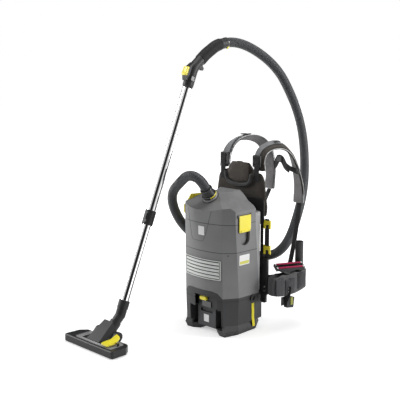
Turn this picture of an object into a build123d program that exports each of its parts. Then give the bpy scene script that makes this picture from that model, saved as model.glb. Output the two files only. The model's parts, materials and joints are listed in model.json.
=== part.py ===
from build123d import *
from math import acos, asin, cos, degrees, pi, radians, sin, sqrt, tan
import os

os.makedirs("parts", exist_ok=True)

# Backpack vacuum cleaner: battery machine on a harness, looped hose, two-piece wand and hard-floor nozzle.
# Millimetres, +Z up. The origin is on the floor under the middle of the machine.
# -Y is the outer side with the exhaust grille, +Y is the wearer's side, +X is the lid latch side.

# ---------------------------------------------------------------- driving dimensions
GAP = 0.3              # clearance between neighbouring bodies
WALL = 3.2             # housing wall
CREASE_X = 108.0       # half width of the bowed front between its corner facets
BULGE = 20.0           # how far the front bows out
BASE_TOP_Z = 164.0     # side height of the dark base
MID_SEAM_Z = 355.0     # seam between lower and upper housing
LID_SEAM_Z = 471.0     # seam under the lid
LID_REAR_Y = 44.0      # back face of the lid
REAR_Y = 98.0          # back face of the machine, against the harness frame
RAMP_SLOPE = 0.70      # rise of the lid front per millimetre of depth
LID_EDGE_Z = 537.0     # lid front edge at the corner creases
HUMP_Z = 592.0         # highest point of the lid
HINGE_X = -152.4       # lid hinge axis, along Y
HINGE_Z = 473.0
LATCH_X = 149.9        # latch pivot axis, along Y
LATCH_Z = 504.0

BATTERY_HALF = 52.5    # half width of the battery
BATTERY_TOP_Z = 110.0
BATTERY_LOW_Z = 22.0
BATTERY_FRONT_Y = -92.0
BAY_LEFT = 74.0        # battery bay, from the middle to its side walls
BAY_RIGHT = 100.0
BAY_REAR_Y = 48.0
BAY_TOP_Z = 112.0
RECESS_X = 24.0        # recess over the battery, with the display and the lever
RECESS_WIDE = 120.0
LEVER_X = -1.0
LEVER_WIDE = 38.0
LEVER_PIVOT = (-107.0, 156.2)
TOE_Z = 25.0
FOOT_X = 88.0
FOOT_Y = (-62.0, 90.0)

HOSE_D = 42.0
HOSE_BORE = 36.0
WAND_X = -161.0        # plane of the wand and handle
WAND_DIR = Vector(0, 0.3834, 0.9235)
TUBE_TOP = Vector(WAND_X, -51, 1006)
TUBE_UPPER_D = 38.0
TUBE_LOWER_D = 35.0
HOSE_END = Vector(WAND_X, 175, 1195)
HOSE_END_DIR = Vector(0, cos(radians(10)), sin(radians(10)))
PIVOT_CLEAR = 0.05     # radial running clearance of pins


SIDE_DIR = Vector(0, 0.9235, -0.3834)
TUBE_BUTTON_PLANE = Plane(
    origin=TUBE_TOP - WAND_DIR * 22 + SIDE_DIR * 21.4, x_dir=(1, 0, 0), z_dir=SIDE_DIR,
)


# ---------------------------------------------------------------- shared outlines
def housing_plan(z, inset=0.0, rear=None):
    """Plan outline of the housing at height z: bowed front, corner facets, flat sides, straight back."""
    rise = (z - BASE_TOP_Z) / (LID_SEAM_Z - BASE_TOP_Z)
    front_y = -109.0 - 4.0 * rise + inset
    crease_x = CREASE_X - 0.41 * inset
    side_x = 138.8 + 7.2 * rise - inset
    side_y = -45.0 - 30.0 * rise + 0.41 * inset
    back_y = (77.6 - 33.6 * rise if rear is None else rear) - inset
    with BuildSketch(Plane.XY.offset(z)) as plan:
        with BuildLine():
            ThreePointArc((-crease_x, front_y), (0, front_y - BULGE), (crease_x, front_y))
            Polyline(
                (crease_x, front_y), (side_x, side_y), (side_x, back_y),
                (-side_x, back_y), (-side_x, side_y), (-crease_x, front_y),
            )
        make_face()
    return plan.sketch


def base_plan(z, inset=0.0):
    """Plan outline of the base column at height z, wider towards the housing above it."""
    rise = (z - 48.0) / (BASE_TOP_Z - 48.0)
    front_y = -104.0 - 5.0 * rise + inset
    crease_x = CREASE_X - 0.41 * inset
    side_x = 127.0 + 11.8 * rise - inset
    side_y = -38.0 - 7.0 * rise + 0.41 * inset
    with BuildSketch(Plane.XY.offset(z)) as plan:
        with BuildLine():
            ThreePointArc((-crease_x, front_y), (0, front_y - BULGE), (crease_x, front_y))
            Polyline(
                (crease_x, front_y), (side_x, side_y), (side_x, 62), (119 - inset, 117 - inset),
                (-119 + inset, 117 - inset), (-side_x, 62), (-side_x, side_y), (-crease_x, front_y),
            )
        make_face()
    return plan.sketch


def front_band(radius_in, radius_out, half_x, z):
    """Slice of the bowed front between two radii about the bow's centre, at height z."""
    centre_y = -131.0 + 301.6
    with BuildSketch(Plane.XY.offset(z)) as band:
        with Locations((0, centre_y)):
            Circle(radius_out)
            Circle(radius_in, mode=Mode.SUBTRACT)
        with Locations((0, -150)):
            Rectangle(2 * half_x, 120, mode=Mode.INTERSECT)
    return band.sketch


def strip_outline(plane, points, radii, width):
    """Ribbon of constant thickness along a rounded route, drawn on the given plane."""
    with BuildSketch(plane) as ribbon:
        with BuildLine() as route:
            FilletPolyline(*points, radius=radii)
        trace(route.line, line_width=width)
    return ribbon.sketch


def wand_plane(distance):
    """Plane square to the wand, this far below the top of the tube."""
    return Plane(origin=TUBE_TOP - WAND_DIR * distance, x_dir=(1, 0, 0), z_dir=WAND_DIR)


def corner_radii(points):
    """Bend radius at every inner corner, from the shorter straight run beside it."""
    spots = [Vector(*p) for p in points]
    radii = []
    for before, here, after in zip(spots, spots[1:], spots[2:]):
        run_in = here - before
        run_out = after - here
        cos_turn = run_in.dot(run_out) / (run_in.length * run_out.length)
        half_turn = acos(max(-1.0, min(1.0, cos_turn))) / 2
        shorter = min(run_in.length, run_out.length)
        radii.append(0.45 * shorter / tan(half_turn))
    return radii


# ================================================================ base
# Everything below this arched line belongs to the base, everything above it to the housing.
with BuildPart() as arch_block:
    with BuildSketch(Plane.XZ.offset(-125)):
        with BuildLine():
            Polyline(
                (-170, -5), (-170, 161), (-CREASE_X, BASE_TOP_Z), (-86, 185), (-60, 190), (60, 190),
                (86, 185), (CREASE_X, BASE_TOP_Z), (170, 161), (170, -5), (-170, -5),
            )
        make_face()
    extrude(amount=290)

SKID_POINTS = [(50, -78), (80, -97), (110, -99), (124, -36), (117, 80), (96, 113), (62, 113), (50, 60)]

with BuildPart() as base_tray:
    loft(sections=[base_plan(44), base_plan(200)])
    add(arch_block.part, mode=Mode.INTERSECT)
    loft(sections=[base_plan(118, WALL), base_plan(200.6, WALL)], mode=Mode.SUBTRACT)
    # skids with their toe bulges
    for side in (1, -1):
        with BuildSketch(Plane.XY):
            Polygon(*[(side * x, y) for x, y in SKID_POINTS], align=None)
        extrude(amount=22, taper=-19)
        with BuildSketch(Plane.XY.offset(22)):
            Polygon(*[(side * x, y) for x, y in SKID_POINTS], align=None)
            offset(amount=22 * tan(radians(19)), kind=Kind.INTERSECTION)
        extrude(amount=26, taper=17)
    # floor of the bay and the flat middle bridge it stands on
    with Locations((0, 20, 11)):
        Box(130, 120, 22)
    with Locations((0, -55, 18)):
        Box(130, 40, 8)
    # battery bay, open at the front
    with Locations(((BAY_RIGHT - BAY_LEFT) / 2, (BAY_REAR_Y - 160) / 2, (TOE_Z + BAY_TOP_Z) / 2)):
        Box(BAY_LEFT + BAY_RIGHT, BAY_REAR_Y + 160, BAY_TOP_Z - TOE_Z, mode=Mode.SUBTRACT)
    with Locations((0, (BAY_REAR_Y - 160) / 2, (BATTERY_LOW_Z + TOE_Z) / 2 + 0.9)):
        Box(2 * BATTERY_HALF + 1.6, BAY_REAR_Y + 160, TOE_Z - BATTERY_LOW_Z + 2.2, mode=Mode.SUBTRACT)
    # recess for the display and the release above the battery
    with Locations((RECESS_X, -130, 138)):
        Box(RECESS_WIDE, 50, 56, mode=Mode.SUBTRACT)
    with Locations((RECESS_X, -103.5, 138)):
        Box(RECESS_WIDE, 3, 50)
    # line around the column under the housing
    with BuildSketch(Plane.XY.offset(149)):
        add(base_plan(149, -2))
        add(base_plan(149, 1), mode=Mode.SUBTRACT)
    extrude(amount=1.6, mode=Mode.SUBTRACT)
    # window behind the squeeze lever
    with Locations((LEVER_X, -103.5, 146)):
        Box(LEVER_WIDE + 1.2, 5, 16, mode=Mode.SUBTRACT)
    # ears of the lever's pivot
    for side in (1, -1):
        with BuildSketch(Plane.YZ.offset(LEVER_X + side * (LEVER_WIDE / 2 + 3))):
            with Locations((LEVER_PIVOT[0] + 1, LEVER_PIVOT[1])):
                Rectangle(6, 6)
            with Locations(LEVER_PIVOT):
                Circle(1.5 + PIVOT_CLEAR, mode=Mode.SUBTRACT)
        extrude(amount=2, both=True)
    # rear shelf under the harness frame
    with Locations((0, 115, 172)):
        Box(300, 36, 48, mode=Mode.SUBTRACT)
    # pockets for the rubber feet
    for side in (1, -1):
        for y in FOOT_Y:
            with BuildSketch(Plane.XY):
                with Locations((side * FOOT_X, y)):
                    SlotOverall(46, 20)
            extrude(amount=3, mode=Mode.SUBTRACT)
base_tray.part.label = "base_tray"
export_step(base_tray.part, "parts/base_tray.step")

with BuildPart() as base_feet:
    # rubber pads let into the skids
    for side in (1, -1):
        for y in FOOT_Y:
            with BuildSketch(Plane.XY):
                with Locations((side * FOOT_X, y)):
                    SlotOverall(46, 20)
            extrude(amount=3)
base_feet.part.label = "base_feet"
export_step(base_feet.part, "parts/base_feet.step")

with BuildPart() as battery_contacts:
    # contact block on the rear wall of the bay with its two blades
    with Locations((0, BAY_REAR_Y - 2, 66)):
        Box(60, 4, 30)
    for x in (-14, 14):
        with Locations((x, BAY_REAR_Y - 9, 66)):
            Box(2, 10, 16)
battery_contacts.part.label = "battery_contacts"
export_step(battery_contacts.part, "parts/battery_contacts.step")

with BuildPart() as display_panel:
    # charge display, leaning in the recess over the battery
    with BuildSketch(Plane.XZ.offset(105)):
        with Locations((15, 125.5)):
            RectangleRounded(52, 24, 4)
    extrude(amount=4)
display_panel.part.label = "display_panel"
export_step(display_panel.part, "parts/display_panel.step")

# -X/+X side strip and its open clasp ring
with BuildPart() as side_strap:
    with BuildSketch(Plane.YZ.offset(120)):
        with BuildLine():
            Polyline((36, 124), (51, 124), (61, 50), (46, 50), (36, 124))
        make_face()
    extrude(amount=30)
    loft(sections=[base_plan(40, -1.6), base_plan(130, -1.6)], mode=Mode.INTERSECT)
    # end on the skid
    with BuildSketch(Plane.YZ.offset(112)):
        with BuildLine():
            Polyline((61, 50), (46, 50), (50.5, 18), (65.5, 18), (61, 50))
        make_face()
    extrude(amount=16.8)
    add(base_tray.part, mode=Mode.SUBTRACT)
side_strap.part.label = "side_strap"
export_step(side_strap.part, "parts/side_strap.step")

CLASP_X = 142.4
with BuildPart() as strap_clasp:
    with BuildSketch(Plane.YZ.offset(CLASP_X)):
        with Locations((40, 146)):
            Circle(15)
            Circle(9, mode=Mode.SUBTRACT)
        with Locations((50, 158)):
            Rectangle(12, 12, rotation=45, mode=Mode.SUBTRACT)
    extrude(amount=-3.6)
strap_clasp.part.label = "strap_clasp"
export_step(strap_clasp.part, "parts/strap_clasp.step")

# ================================================================ battery and release
with BuildPart() as battery_pack:
    with BuildSketch(Plane.XZ.offset(-BATTERY_FRONT_Y)):
        with Locations((0, (BATTERY_LOW_Z + BATTERY_TOP_Z) / 2)):
            RectangleRounded(2 * BATTERY_HALF, BATTERY_TOP_Z - BATTERY_LOW_Z, 6)
    extrude(amount=-(BAY_REAR_Y - 16 - BATTERY_FRONT_Y))
    # finger scoop and bare label field on the front
    with BuildSketch(Plane.XZ.offset(-BATTERY_FRONT_Y)):
        with Locations((0, 92)):
            RectangleRounded(70, 16, 6)
    extrude(amount=-6, mode=Mode.SUBTRACT)
    with BuildSketch(Plane.XZ.offset(-BATTERY_FRONT_Y)):
        with Locations((0, 58)):
            RectangleRounded(36, 34, 2)
    extrude(amount=-0.8, mode=Mode.SUBTRACT)
    # slots for the contact blades
    for x in (-14, 14):
        with Locations((x, BAY_REAR_Y - 20, 66)):
            Box(4, 24, 20, mode=Mode.SUBTRACT)
battery_pack.part.label = "battery_pack"
export_step(battery_pack.part, "parts/battery_pack.step")

with BuildPart() as battery_release:
    # squeeze lever with a rounded yellow face
    with BuildSketch(Plane.XZ.offset(105.4)):
        with Locations((LEVER_X, 148)):
            RectangleRounded(LEVER_WIDE, 16, 5)
    extrude(amount=11)
    fillet(battery_release.faces().sort_by(Axis.Y)[0].edges(), 3)
    with BuildSketch(Plane.YZ.offset(LEVER_X - LEVER_WIDE / 2 - 4)):
        with Locations(LEVER_PIVOT):
            Circle(1.5)
    extrude(amount=LEVER_WIDE + 8)
battery_release.part.label = "battery_release"
export_step(battery_release.part, "parts/battery_release.step")

# ================================================================ housing
GRILLE_LOW_Z = 240.5
GRILLE_TOP_Z = 322.0
GRILLE_HALF = 102.0

with BuildPart() as lower_housing:
    loft(sections=[housing_plan(BASE_TOP_Z - 5), housing_plan(MID_SEAM_Z)])
    add(arch_block.part, mode=Mode.SUBTRACT)
    loft(
        sections=[housing_plan(BASE_TOP_Z - 8, WALL), housing_plan(MID_SEAM_Z + 1, WALL)],
        mode=Mode.SUBTRACT,
    )
    # exhaust opening
    with Locations((0, -125, (GRILLE_LOW_Z - 2.7 + GRILLE_TOP_Z + 1) / 2)):
        Box(2 * GRILLE_HALF + 1.4, 60, GRILLE_TOP_Z + 1 - GRILLE_LOW_Z + 2.7, mode=Mode.SUBTRACT)
    # sunk screw in the right corner facet
    with BuildSketch(Plane(origin=(122.6, -93, 344), z_dir=(0.81, -0.58, 0))):
        Circle(3.5)
    extrude(amount=-3, mode=Mode.SUBTRACT)
    # deck over the motor with its suction eye
    with Locations((0, -15, 325.5)):
        Box(180, 110, 4)
        Cylinder(32, 6, mode=Mode.SUBTRACT)
    with Locations((0, -15, 325.5)):
        Box(279, 8, 4)
        Cylinder(32, 6, mode=Mode.SUBTRACT)
lower_housing.part.label = "lower_housing"
export_step(lower_housing.part, "parts/lower_housing.step")

# narrow groove that frames the front panel, running on into the lid
PANEL_POINTS = [(-78, 524), (-68, 473), (-50, 395), (16, 395), (36, 440), (60, 524)]
with BuildPart() as panel_groove:
    extrude(strip_outline(Plane.XZ.offset(100), PANEL_POINTS, [60, 14, 16, 60], 1.8), amount=60)
    loft(sections=[housing_plan(MID_SEAM_Z, 1.1), housing_plan(LID_SEAM_Z, 1.1)], mode=Mode.SUBTRACT)
    extrude(housing_plan(LID_SEAM_Z, 1.1), amount=80, mode=Mode.SUBTRACT)

with BuildPart() as upper_housing:
    loft(sections=[housing_plan(MID_SEAM_Z + GAP), housing_plan(LID_SEAM_Z)])
    loft(
        sections=[housing_plan(MID_SEAM_Z - 1, WALL), housing_plan(LID_SEAM_Z + 1, WALL)],
        mode=Mode.SUBTRACT,
    )
    add(panel_groove.part, mode=Mode.SUBTRACT)
    # ledge that carries the filter basket
    with BuildSketch(Plane.XY.offset(452)):
        add(housing_plan(452, 2))
        add(housing_plan(452, 13), mode=Mode.SUBTRACT)
    extrude(amount=3)
    # finger recess under the latch, with its cup inside the wall
    with Locations((135, -18, 415)):
        Box(15, 64, 79.4)
    with BuildSketch(Plane.YZ.offset(131)):
        with BuildLine():
            Line((10, 453), (-46, 453))
            Line((-46, 453), (-46, 409))
            ThreePointArc((-46, 409), (-18, 381), (10, 409))
            Line((10, 409), (10, 453))
        make_face()
    extrude(amount=20, mode=Mode.SUBTRACT)
    # outer knuckles of the lid hinge
    for y in (-30, 19):
        with BuildSketch(Plane.XZ.offset(-y)):
            with Locations((HINGE_X, HINGE_Z)):
                Circle(5.5)
            with Locations((-149.4, 466)):
                Rectangle(8, 9)
            with Locations((HINGE_X, HINGE_Z)):
                Circle(2.5 + PIVOT_CLEAR, mode=Mode.SUBTRACT)
        extrude(amount=19)
upper_housing.part.label = "upper_housing"
export_step(upper_housing.part, "parts/upper_housing.step")

with BuildPart() as rear_cover:
    with BuildSketch(Plane.YZ.offset(-150)):
        with BuildLine():
            Polyline(
                (76.5, 175), (REAR_Y, 175), (REAR_Y, 505), (LID_REAR_Y + 1.2, 505),
                (LID_REAR_Y + 1.2, 470), (76.5, 175),
            )
        make_face()
    extrude(amount=300)
    with BuildSketch(Plane.XY.offset(170)):
        with BuildLine():
            Polyline(
                (138.5, 30), (138.5, 80), (118, REAR_Y), (-118, REAR_Y), (-138.5, 80), (-138.5, 30),
                (138.5, 30),
            )
        make_face()
    extrude(amount=340, mode=Mode.INTERSECT)
    loft(sections=[housing_plan(160, -0.05), housing_plan(480, -0.05)], mode=Mode.SUBTRACT)
    # hollow inside
    with BuildSketch(Plane.XY.offset(178)):
        with BuildLine():
            Polyline(
                (135.3, 30), (135.3, 78.6), (116.6, REAR_Y - WALL), (-116.6, REAR_Y - WALL),
                (-135.3, 78.6), (-135.3, 30), (135.3, 30),
            )
        make_face()
    extrude(amount=505 - 178 - WALL, mode=Mode.SUBTRACT)
rear_cover.part.label = "rear_cover"
export_step(rear_cover.part, "parts/rear_cover.step")

# ================================================================ airflow parts inside
with BuildPart() as motor_unit:
    with Locations((0, -15, 245)):
        Cylinder(62, 100)
    with Locations((0, -15, 300)):
        Cylinder(48, 30)
    with Locations((0, -15, 318)):
        Cylinder(26, 22)
motor_unit.part.label = "motor_unit"
export_step(motor_unit.part, "parts/motor_unit.step")

with BuildPart() as motor_mounts:
    # rubber ring under the motor on three legs standing on the base deck
    with Locations((0, -15, 185)):
        Cylinder(58, 20)
        Cylinder(44, 21, mode=Mode.SUBTRACT)
    with Locations((0, -15, 0)):
        with PolarLocations(51, 3, 90):
            with Locations((0, 0, 146.5)):
                Cylinder(6, 57)
motor_mounts.part.label = "motor_mounts"
export_step(motor_mounts.part, "parts/motor_mounts.step")

with BuildPart() as exhaust_filter:
    extrude(front_band(289.2, 296.2, GRILLE_HALF - 0.4, GRILLE_LOW_Z - 2.6), amount=85)
exhaust_filter.part.label = "exhaust_filter"
export_step(exhaust_filter.part, "parts/exhaust_filter.step")

BASKET_TOP_Z = 458.0
with BuildPart() as filter_basket:
    with BuildSketch(Plane.XY.offset(345)):
        with Locations((0, -22)):
            RectangleRounded(200, 107, 26)
    extrude(amount=BASKET_TOP_Z - 345)
    with BuildSketch(Plane.XY.offset(347.5)):
        with Locations((0, -22)):
            RectangleRounded(195, 102, 23.5)
    extrude(amount=BASKET_TOP_Z - 345, mode=Mode.SUBTRACT)
    with BuildSketch(Plane.XY.offset(455)):
        add(housing_plan(455, 5))
        with Locations((0, -22)):
            RectangleRounded(195, 102, 23.5, mode=Mode.SUBTRACT)
    extrude(amount=3)
filter_basket.part.label = "filter_basket"
export_step(filter_basket.part, "parts/filter_basket.step")

with BuildPart() as filter_bag:
    with BuildSketch(Plane.XY.offset(347.9)):
        with Locations((0, -22)):
            RectangleRounded(188, 95, 22)
    extrude(amount=96)
    with Locations((0, -22, 447.9)):
        Cylinder(30, 8)
filter_bag.part.label = "filter_bag"
export_step(filter_bag.part, "parts/filter_bag.step")

# ================================================================ exhaust grille
with BuildPart() as exhaust_grille:
    # frame, louvres standing clear of it, and the set-back bars that carry them
    with BuildSketch(Plane.XY.offset(GRILLE_LOW_Z)):
        add(front_band(296.5, 303.5, GRILLE_HALF, GRILLE_LOW_Z))
    extrude(amount=GRILLE_TOP_Z - GRILLE_LOW_Z)
    with Locations((0, -128, (GRILLE_LOW_Z + GRILLE_TOP_Z) / 2)):
        Box(2 * GRILLE_HALF - 8, 60, GRILLE_TOP_Z - GRILLE_LOW_Z - 8, mode=Mode.SUBTRACT)
    with BuildSketch(Plane.XY.offset(GRILLE_LOW_Z + 3)):
        add(front_band(296.5, 299.5, GRILLE_HALF - 3, GRILLE_LOW_Z + 3))
        add(front_band(296, 300, GRILLE_HALF - 14, GRILLE_LOW_Z + 3), mode=Mode.SUBTRACT)
    extrude(amount=GRILLE_TOP_Z - GRILLE_LOW_Z - 6)
    for i in range(5):
        extrude(front_band(298, 303, GRILLE_HALF - 6.5, GRILLE_LOW_Z + 7 + 14 * i), amount=10.4)
    # snap hooks on the lower edge
    for x in (-GRILLE_HALF / 2 - 6, GRILLE_HALF / 2 - 9):
        with Locations((x, -128.6 + x * x / 610, GRILLE_LOW_Z - 0.7)):
            Box(12, 3, 2.6)
exhaust_grille.part.label = "exhaust_grille"
export_step(exhaust_grille.part, "parts/exhaust_grille.step")

# ================================================================ lid
HUMP_POINTS = [(-150, 525), (-146, 525), (-133, 538), (-105, 552), (-90, 567), (-76, 579), (-58, HUMP_Z)]


def hump_outline(plane, drop):
    """Cross outline of the lid, lowered by the given amount."""
    right = [(-x, z) for x, z in reversed(HUMP_POINTS)]
    points = [(x, z - drop) for x, z in HUMP_POINTS + right]
    with BuildSketch(plane) as outline:
        with BuildLine():
            Polyline((-150, 440), *points, (150, 440), (-150, 440))
        make_face()
    return outline.sketch


def ramp_cut(drop):
    """Side outline of the material above the lid's sloping front."""
    top_y = -113 + (HUMP_Z + 20 - LID_EDGE_Z) / RAMP_SLOPE
    low_z = LID_EDGE_Z - 60 * RAMP_SLOPE
    with BuildSketch(Plane.YZ.offset(-160)) as cut:
        with BuildLine():
            Polyline(
                (-173, low_z - drop), (top_y, HUMP_Z + 20 - drop), (top_y, 660), (-173, 660),
                (-173, low_z - drop),
            )
        make_face()
    return cut.sketch


TROUGH_HALF = 75.0     # half length of the trough across the top
TROUGH_R = 120.0
TROUGH_DEPTH = 6.5
TROUGH_CHORD = 39.0    # from the rim to the deepest line
DISH_X = 58.0          # where the dish is this deep below the top
DISH_R = 115.0
DISH_DEPTH = 15.5
DISH_CHORD = 45.0
DISH_FALL = 0.59       # drop per millimetre outwards
RIM_Y = LID_REAR_Y - 7.0


def lid_hollows(grow):
    """What is carved out of the lid's top: a trough in front of the rim and a dish on either shoulder.

    The cutters are grown to carve the inside, so the wall stays even."""
    with BuildPart() as cutters:
        # trough across the top, in front of the rim
        with BuildSketch(Plane.YZ.offset(-TROUGH_HALF)):
            with Locations((RIM_Y - TROUGH_CHORD, HUMP_Z - TROUGH_DEPTH + TROUGH_R)):
                Circle(TROUGH_R + grow)
        extrude(amount=2 * TROUGH_HALF)
        for side in (1, -1):
            # dish on the shoulder, falling outwards
            fall = Vector(1, 0, -DISH_FALL).normalized()
            across = Vector(side * (DISH_X - fall.Z * DISH_R), 0, HUMP_Z - DISH_DEPTH + fall.X * DISH_R)
            lean = Plane(
                origin=(across.X, RIM_Y - DISH_CHORD, across.Z), x_dir=(0, 1, 0), z_dir=(side * fall.X, 0, fall.Z),
            )
            with BuildSketch(lean.offset(-120)):
                Circle(DISH_R + grow)
            extrude(amount=250)
            # flat facet between the ramp and the shoulder, over the corner of the housing
            facet = Plane(origin=(side * 104, -113, LID_EDGE_Z + 1 - grow), z_dir=(side * 0.229, -0.344, 0.911))
            with BuildSketch(facet):
                Rectangle(600, 600)
            extrude(amount=80)
    return cutters.part
COLLAR = Plane(origin=(0, -72, 568), x_dir=(1, 0, 0), z_dir=(0, -0.5736, 0.8192))

with BuildPart() as lid_core:
    # hollow inside the lid
    extrude(housing_plan(LID_SEAM_Z, 3.5, LID_REAR_Y).moved(Location((0, 0, -1))), amount=140)
    extrude(hump_outline(Plane.XZ.offset(-60), 9), amount=220, mode=Mode.INTERSECT)
    extrude(ramp_cut(4), amount=320, mode=Mode.SUBTRACT)
    add(lid_hollows(WALL), mode=Mode.SUBTRACT)

with BuildPart() as lid_shell:
    extrude(housing_plan(LID_SEAM_Z, 0, LID_REAR_Y).moved(Location((0, 0, GAP))), amount=140)
    extrude(hump_outline(Plane.XZ.offset(-60), 0), amount=220, mode=Mode.INTERSECT)
    extrude(ramp_cut(0), amount=320, mode=Mode.SUBTRACT)
    add(lid_hollows(0), mode=Mode.SUBTRACT)
    add(lid_core.part, mode=Mode.SUBTRACT)
    add(panel_groove.part, mode=Mode.SUBTRACT)
    # boss and mouth of the hose collar
    with BuildSketch(COLLAR.offset(-14)):
        Circle(33)
    extrude(amount=14)
    with BuildSketch(COLLAR.offset(-40)):
        Circle(21)
    extrude(amount=60, mode=Mode.SUBTRACT)
    # ears of the latch pivot
    for y in (-58.5, 16):
        with BuildSketch(Plane.XZ.offset(-y)):
            with Locations((148.9, LATCH_Z)):
                Rectangle(6.6, 10)
            with Locations((LATCH_X, LATCH_Z)):
                Circle(1.2 + PIVOT_CLEAR, mode=Mode.SUBTRACT)
        extrude(amount=5.5)
lid_shell.part.label = "lid_shell"
export_step(lid_shell.part, "parts/lid_shell.step")

with BuildPart() as lid_seal:
    with BuildSketch(Plane.XY.offset(LID_SEAM_Z + 0.2)):
        add(housing_plan(LID_SEAM_Z, 3.5, LID_REAR_Y))
        add(housing_plan(LID_SEAM_Z, 9.5, LID_REAR_Y), mode=Mode.SUBTRACT)
    extrude(amount=5)
lid_seal.part.label = "lid_seal"
export_step(lid_seal.part, "parts/lid_seal.step")

with BuildPart() as collar_ring:
    with BuildSketch(COLLAR):
        Circle(31.5)
        Circle(24, mode=Mode.SUBTRACT)
    extrude(amount=8)
    fillet(collar_ring.edges().filter_by(GeomType.CIRCLE).sort_by(SortBy.RADIUS)[-1:], 2)
collar_ring.part.label = "collar_ring"
export_step(collar_ring.part, "parts/collar_ring.step")

with BuildPart() as hose_cuff:
    # swivel cuff in the collar, narrowing to the hose
    with BuildSketch(Plane.XZ):
        with BuildLine():
            Polyline((21, 0), (23.8, 0), (23.8, 8), (28, 8.1), (28, 14), (23.5, 42), (23.5, 50),
                     (21, 50), (21, 0))
        make_face()
    revolve(axis=Axis.Z)
cuff_solid = hose_cuff.part.moved(COLLAR.location)
cuff_solid.label = "hose_cuff"
export_step(cuff_solid, "parts/hose_cuff.step")

with BuildPart() as hinge_bracket:
    # yellow plate over the left shoulder with the middle knuckle
    with BuildSketch(Plane.YZ.offset(-146)):
        with BuildLine():
            Polyline((-81, 520), (-60, 531), (-38, 556), (24, 551), (28, 545), (28, 482), (-76, 482),
                     (-81, 490), (-81, 520))
        make_face()
    extrude(amount=-5)
    with BuildSketch(Plane.XZ.offset(0.5)):
        with Locations((HINGE_X, HINGE_Z)):
            Circle(5.5)
        with Locations((-148.8, 480)):
            Rectangle(5, 12)
        with Locations((HINGE_X, HINGE_Z)):
            Circle(2.5, mode=Mode.SUBTRACT)
    extrude(amount=29)
hinge_bracket.part.label = "hinge_bracket"
export_step(hinge_bracket.part, "parts/hinge_bracket.step")

with BuildPart() as hinge_pin:
    with BuildSketch(Plane.XZ.offset(-20)):
        with Locations((HINGE_X, HINGE_Z)):
            Circle(2.5)
    extrude(amount=70)
hinge_pin.part.label = "hinge_pin"
export_step(hinge_pin.part, "parts/hinge_pin.step")

# ================================================================ latch
with BuildPart() as lid_latch:
    with BuildSketch(Plane.YZ.offset(LATCH_X - 2.3)):
        with BuildLine():
            FilletPolyline((-58, 437), (10, 437), (10, 506.3), (-58, 506.3), radius=[5, 14, 0.5, 0.5], close=True)
        make_face()
    extrude(amount=4.6)
    fillet(lid_latch.faces().sort_by(Axis.Z)[-1].edges().filter_by(Axis.Y), 2.1)
    # grip lip at the lower edge
    with Locations((154, -24, 443)):
        Box(4, 50, 5)
    with BuildSketch(Plane.XZ.offset(-20)):
        with Locations((LATCH_X, LATCH_Z)):
            Circle(1.2)
    extrude(amount=90, mode=Mode.SUBTRACT)
lid_latch.part.label = "lid_latch"
export_step(lid_latch.part, "parts/lid_latch.step")

with BuildPart() as latch_pin:
    with BuildSketch(Plane.XZ.offset(-16)):
        with Locations((LATCH_X, LATCH_Z)):
            Circle(1.2)
    extrude(amount=80)
latch_pin.part.label = "latch_pin"
export_step(latch_pin.part, "parts/latch_pin.step")

# ================================================================ harness frame
with BuildPart() as back_frame:
    # lumbar plate with rounded lower tabs, two side rails and a top plate
    with BuildSketch(Plane.XZ.offset(-REAR_Y - GAP)):
        with BuildLine():
            FilletPolyline(
                (-163, 305), (-163, 150), (-155, 150), (-155, 116), (-128, 116), (-128, 150), (128, 150),
                (128, 116), (155, 116), (155, 150), (163, 150), (163, 305),
                radius=[6, 2, 5, 5, 6, 6, 5, 5, 2, 6], close=False,
            )
            Line((163, 305), (-163, 305))
        make_face()
    extrude(amount=-11)
    for side in (1, -1):
        with Locations((side * 131, REAR_Y + GAP + 2, 400)):
            Box(14, 4, 200)
    with BuildSketch(Plane.XZ.offset(-REAR_Y - GAP)):
        with Locations((0, 503)):
            RectangleRounded(284, 106, 14)
    extrude(amount=-4)
back_frame.part.label = "back_frame"
export_step(back_frame.part, "parts/back_frame.step")

PAD_FRONT_Y = REAR_Y + GAP + 4.3
with BuildPart() as back_pad:
    with BuildSketch(Plane.XZ.offset(-PAD_FRONT_Y)):
        with BuildLine():
            FilletPolyline(
                (-150, 476), (-156, 520), (-148, 562), (-136, 638), (-121, 661), (-76, 674), (-44, 707),
                (44, 707), (76, 674), (121, 661), (136, 638), (148, 562), (156, 520), (150, 476),
                radius=10, close=True,
            )
        make_face()
    extrude(amount=-23)
    fillet(back_pad.faces().sort_by(Axis.Y)[-1].edges(), 6)
back_pad.part.label = "back_pad"
export_step(back_pad.part, "parts/back_pad.step")

with BuildPart() as carry_handle:
    # sagging loop of webbing on the front of the pad
    loop = strip_outline(
        Plane.XZ.offset(-86), [(-72, 646), (-64, 618), (0, 604), (64, 618), (72, 646)], [9, 60, 9], 14,
    )
    extrude(loop, amount=-12)
    for side in (1, -1):
        with Locations((side * 72, (86 + PAD_FRONT_Y - GAP) / 2, 650)):
            Box(16, PAD_FRONT_Y - GAP - 86, 16)
carry_handle.part.label = "carry_handle"
export_step(carry_handle.part, "parts/carry_handle.step")

LEFT_STRAP = [(109, 735), (124, 776), (160, 791), (263, 791), (318, 779), (367, 740), (398, 665),
              (406, 600), (394, 545)]
with BuildPart() as shoulder_strap_left:
    outline = strip_outline(Plane.YZ.offset(-115), LEFT_STRAP, corner_radii([(0, *p) for p in LEFT_STRAP]), 14)
    extrude(outline, amount=55)
shoulder_strap_left.part.label = "shoulder_strap_left"
export_step(shoulder_strap_left.part, "parts/shoulder_strap_left.step")

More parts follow.
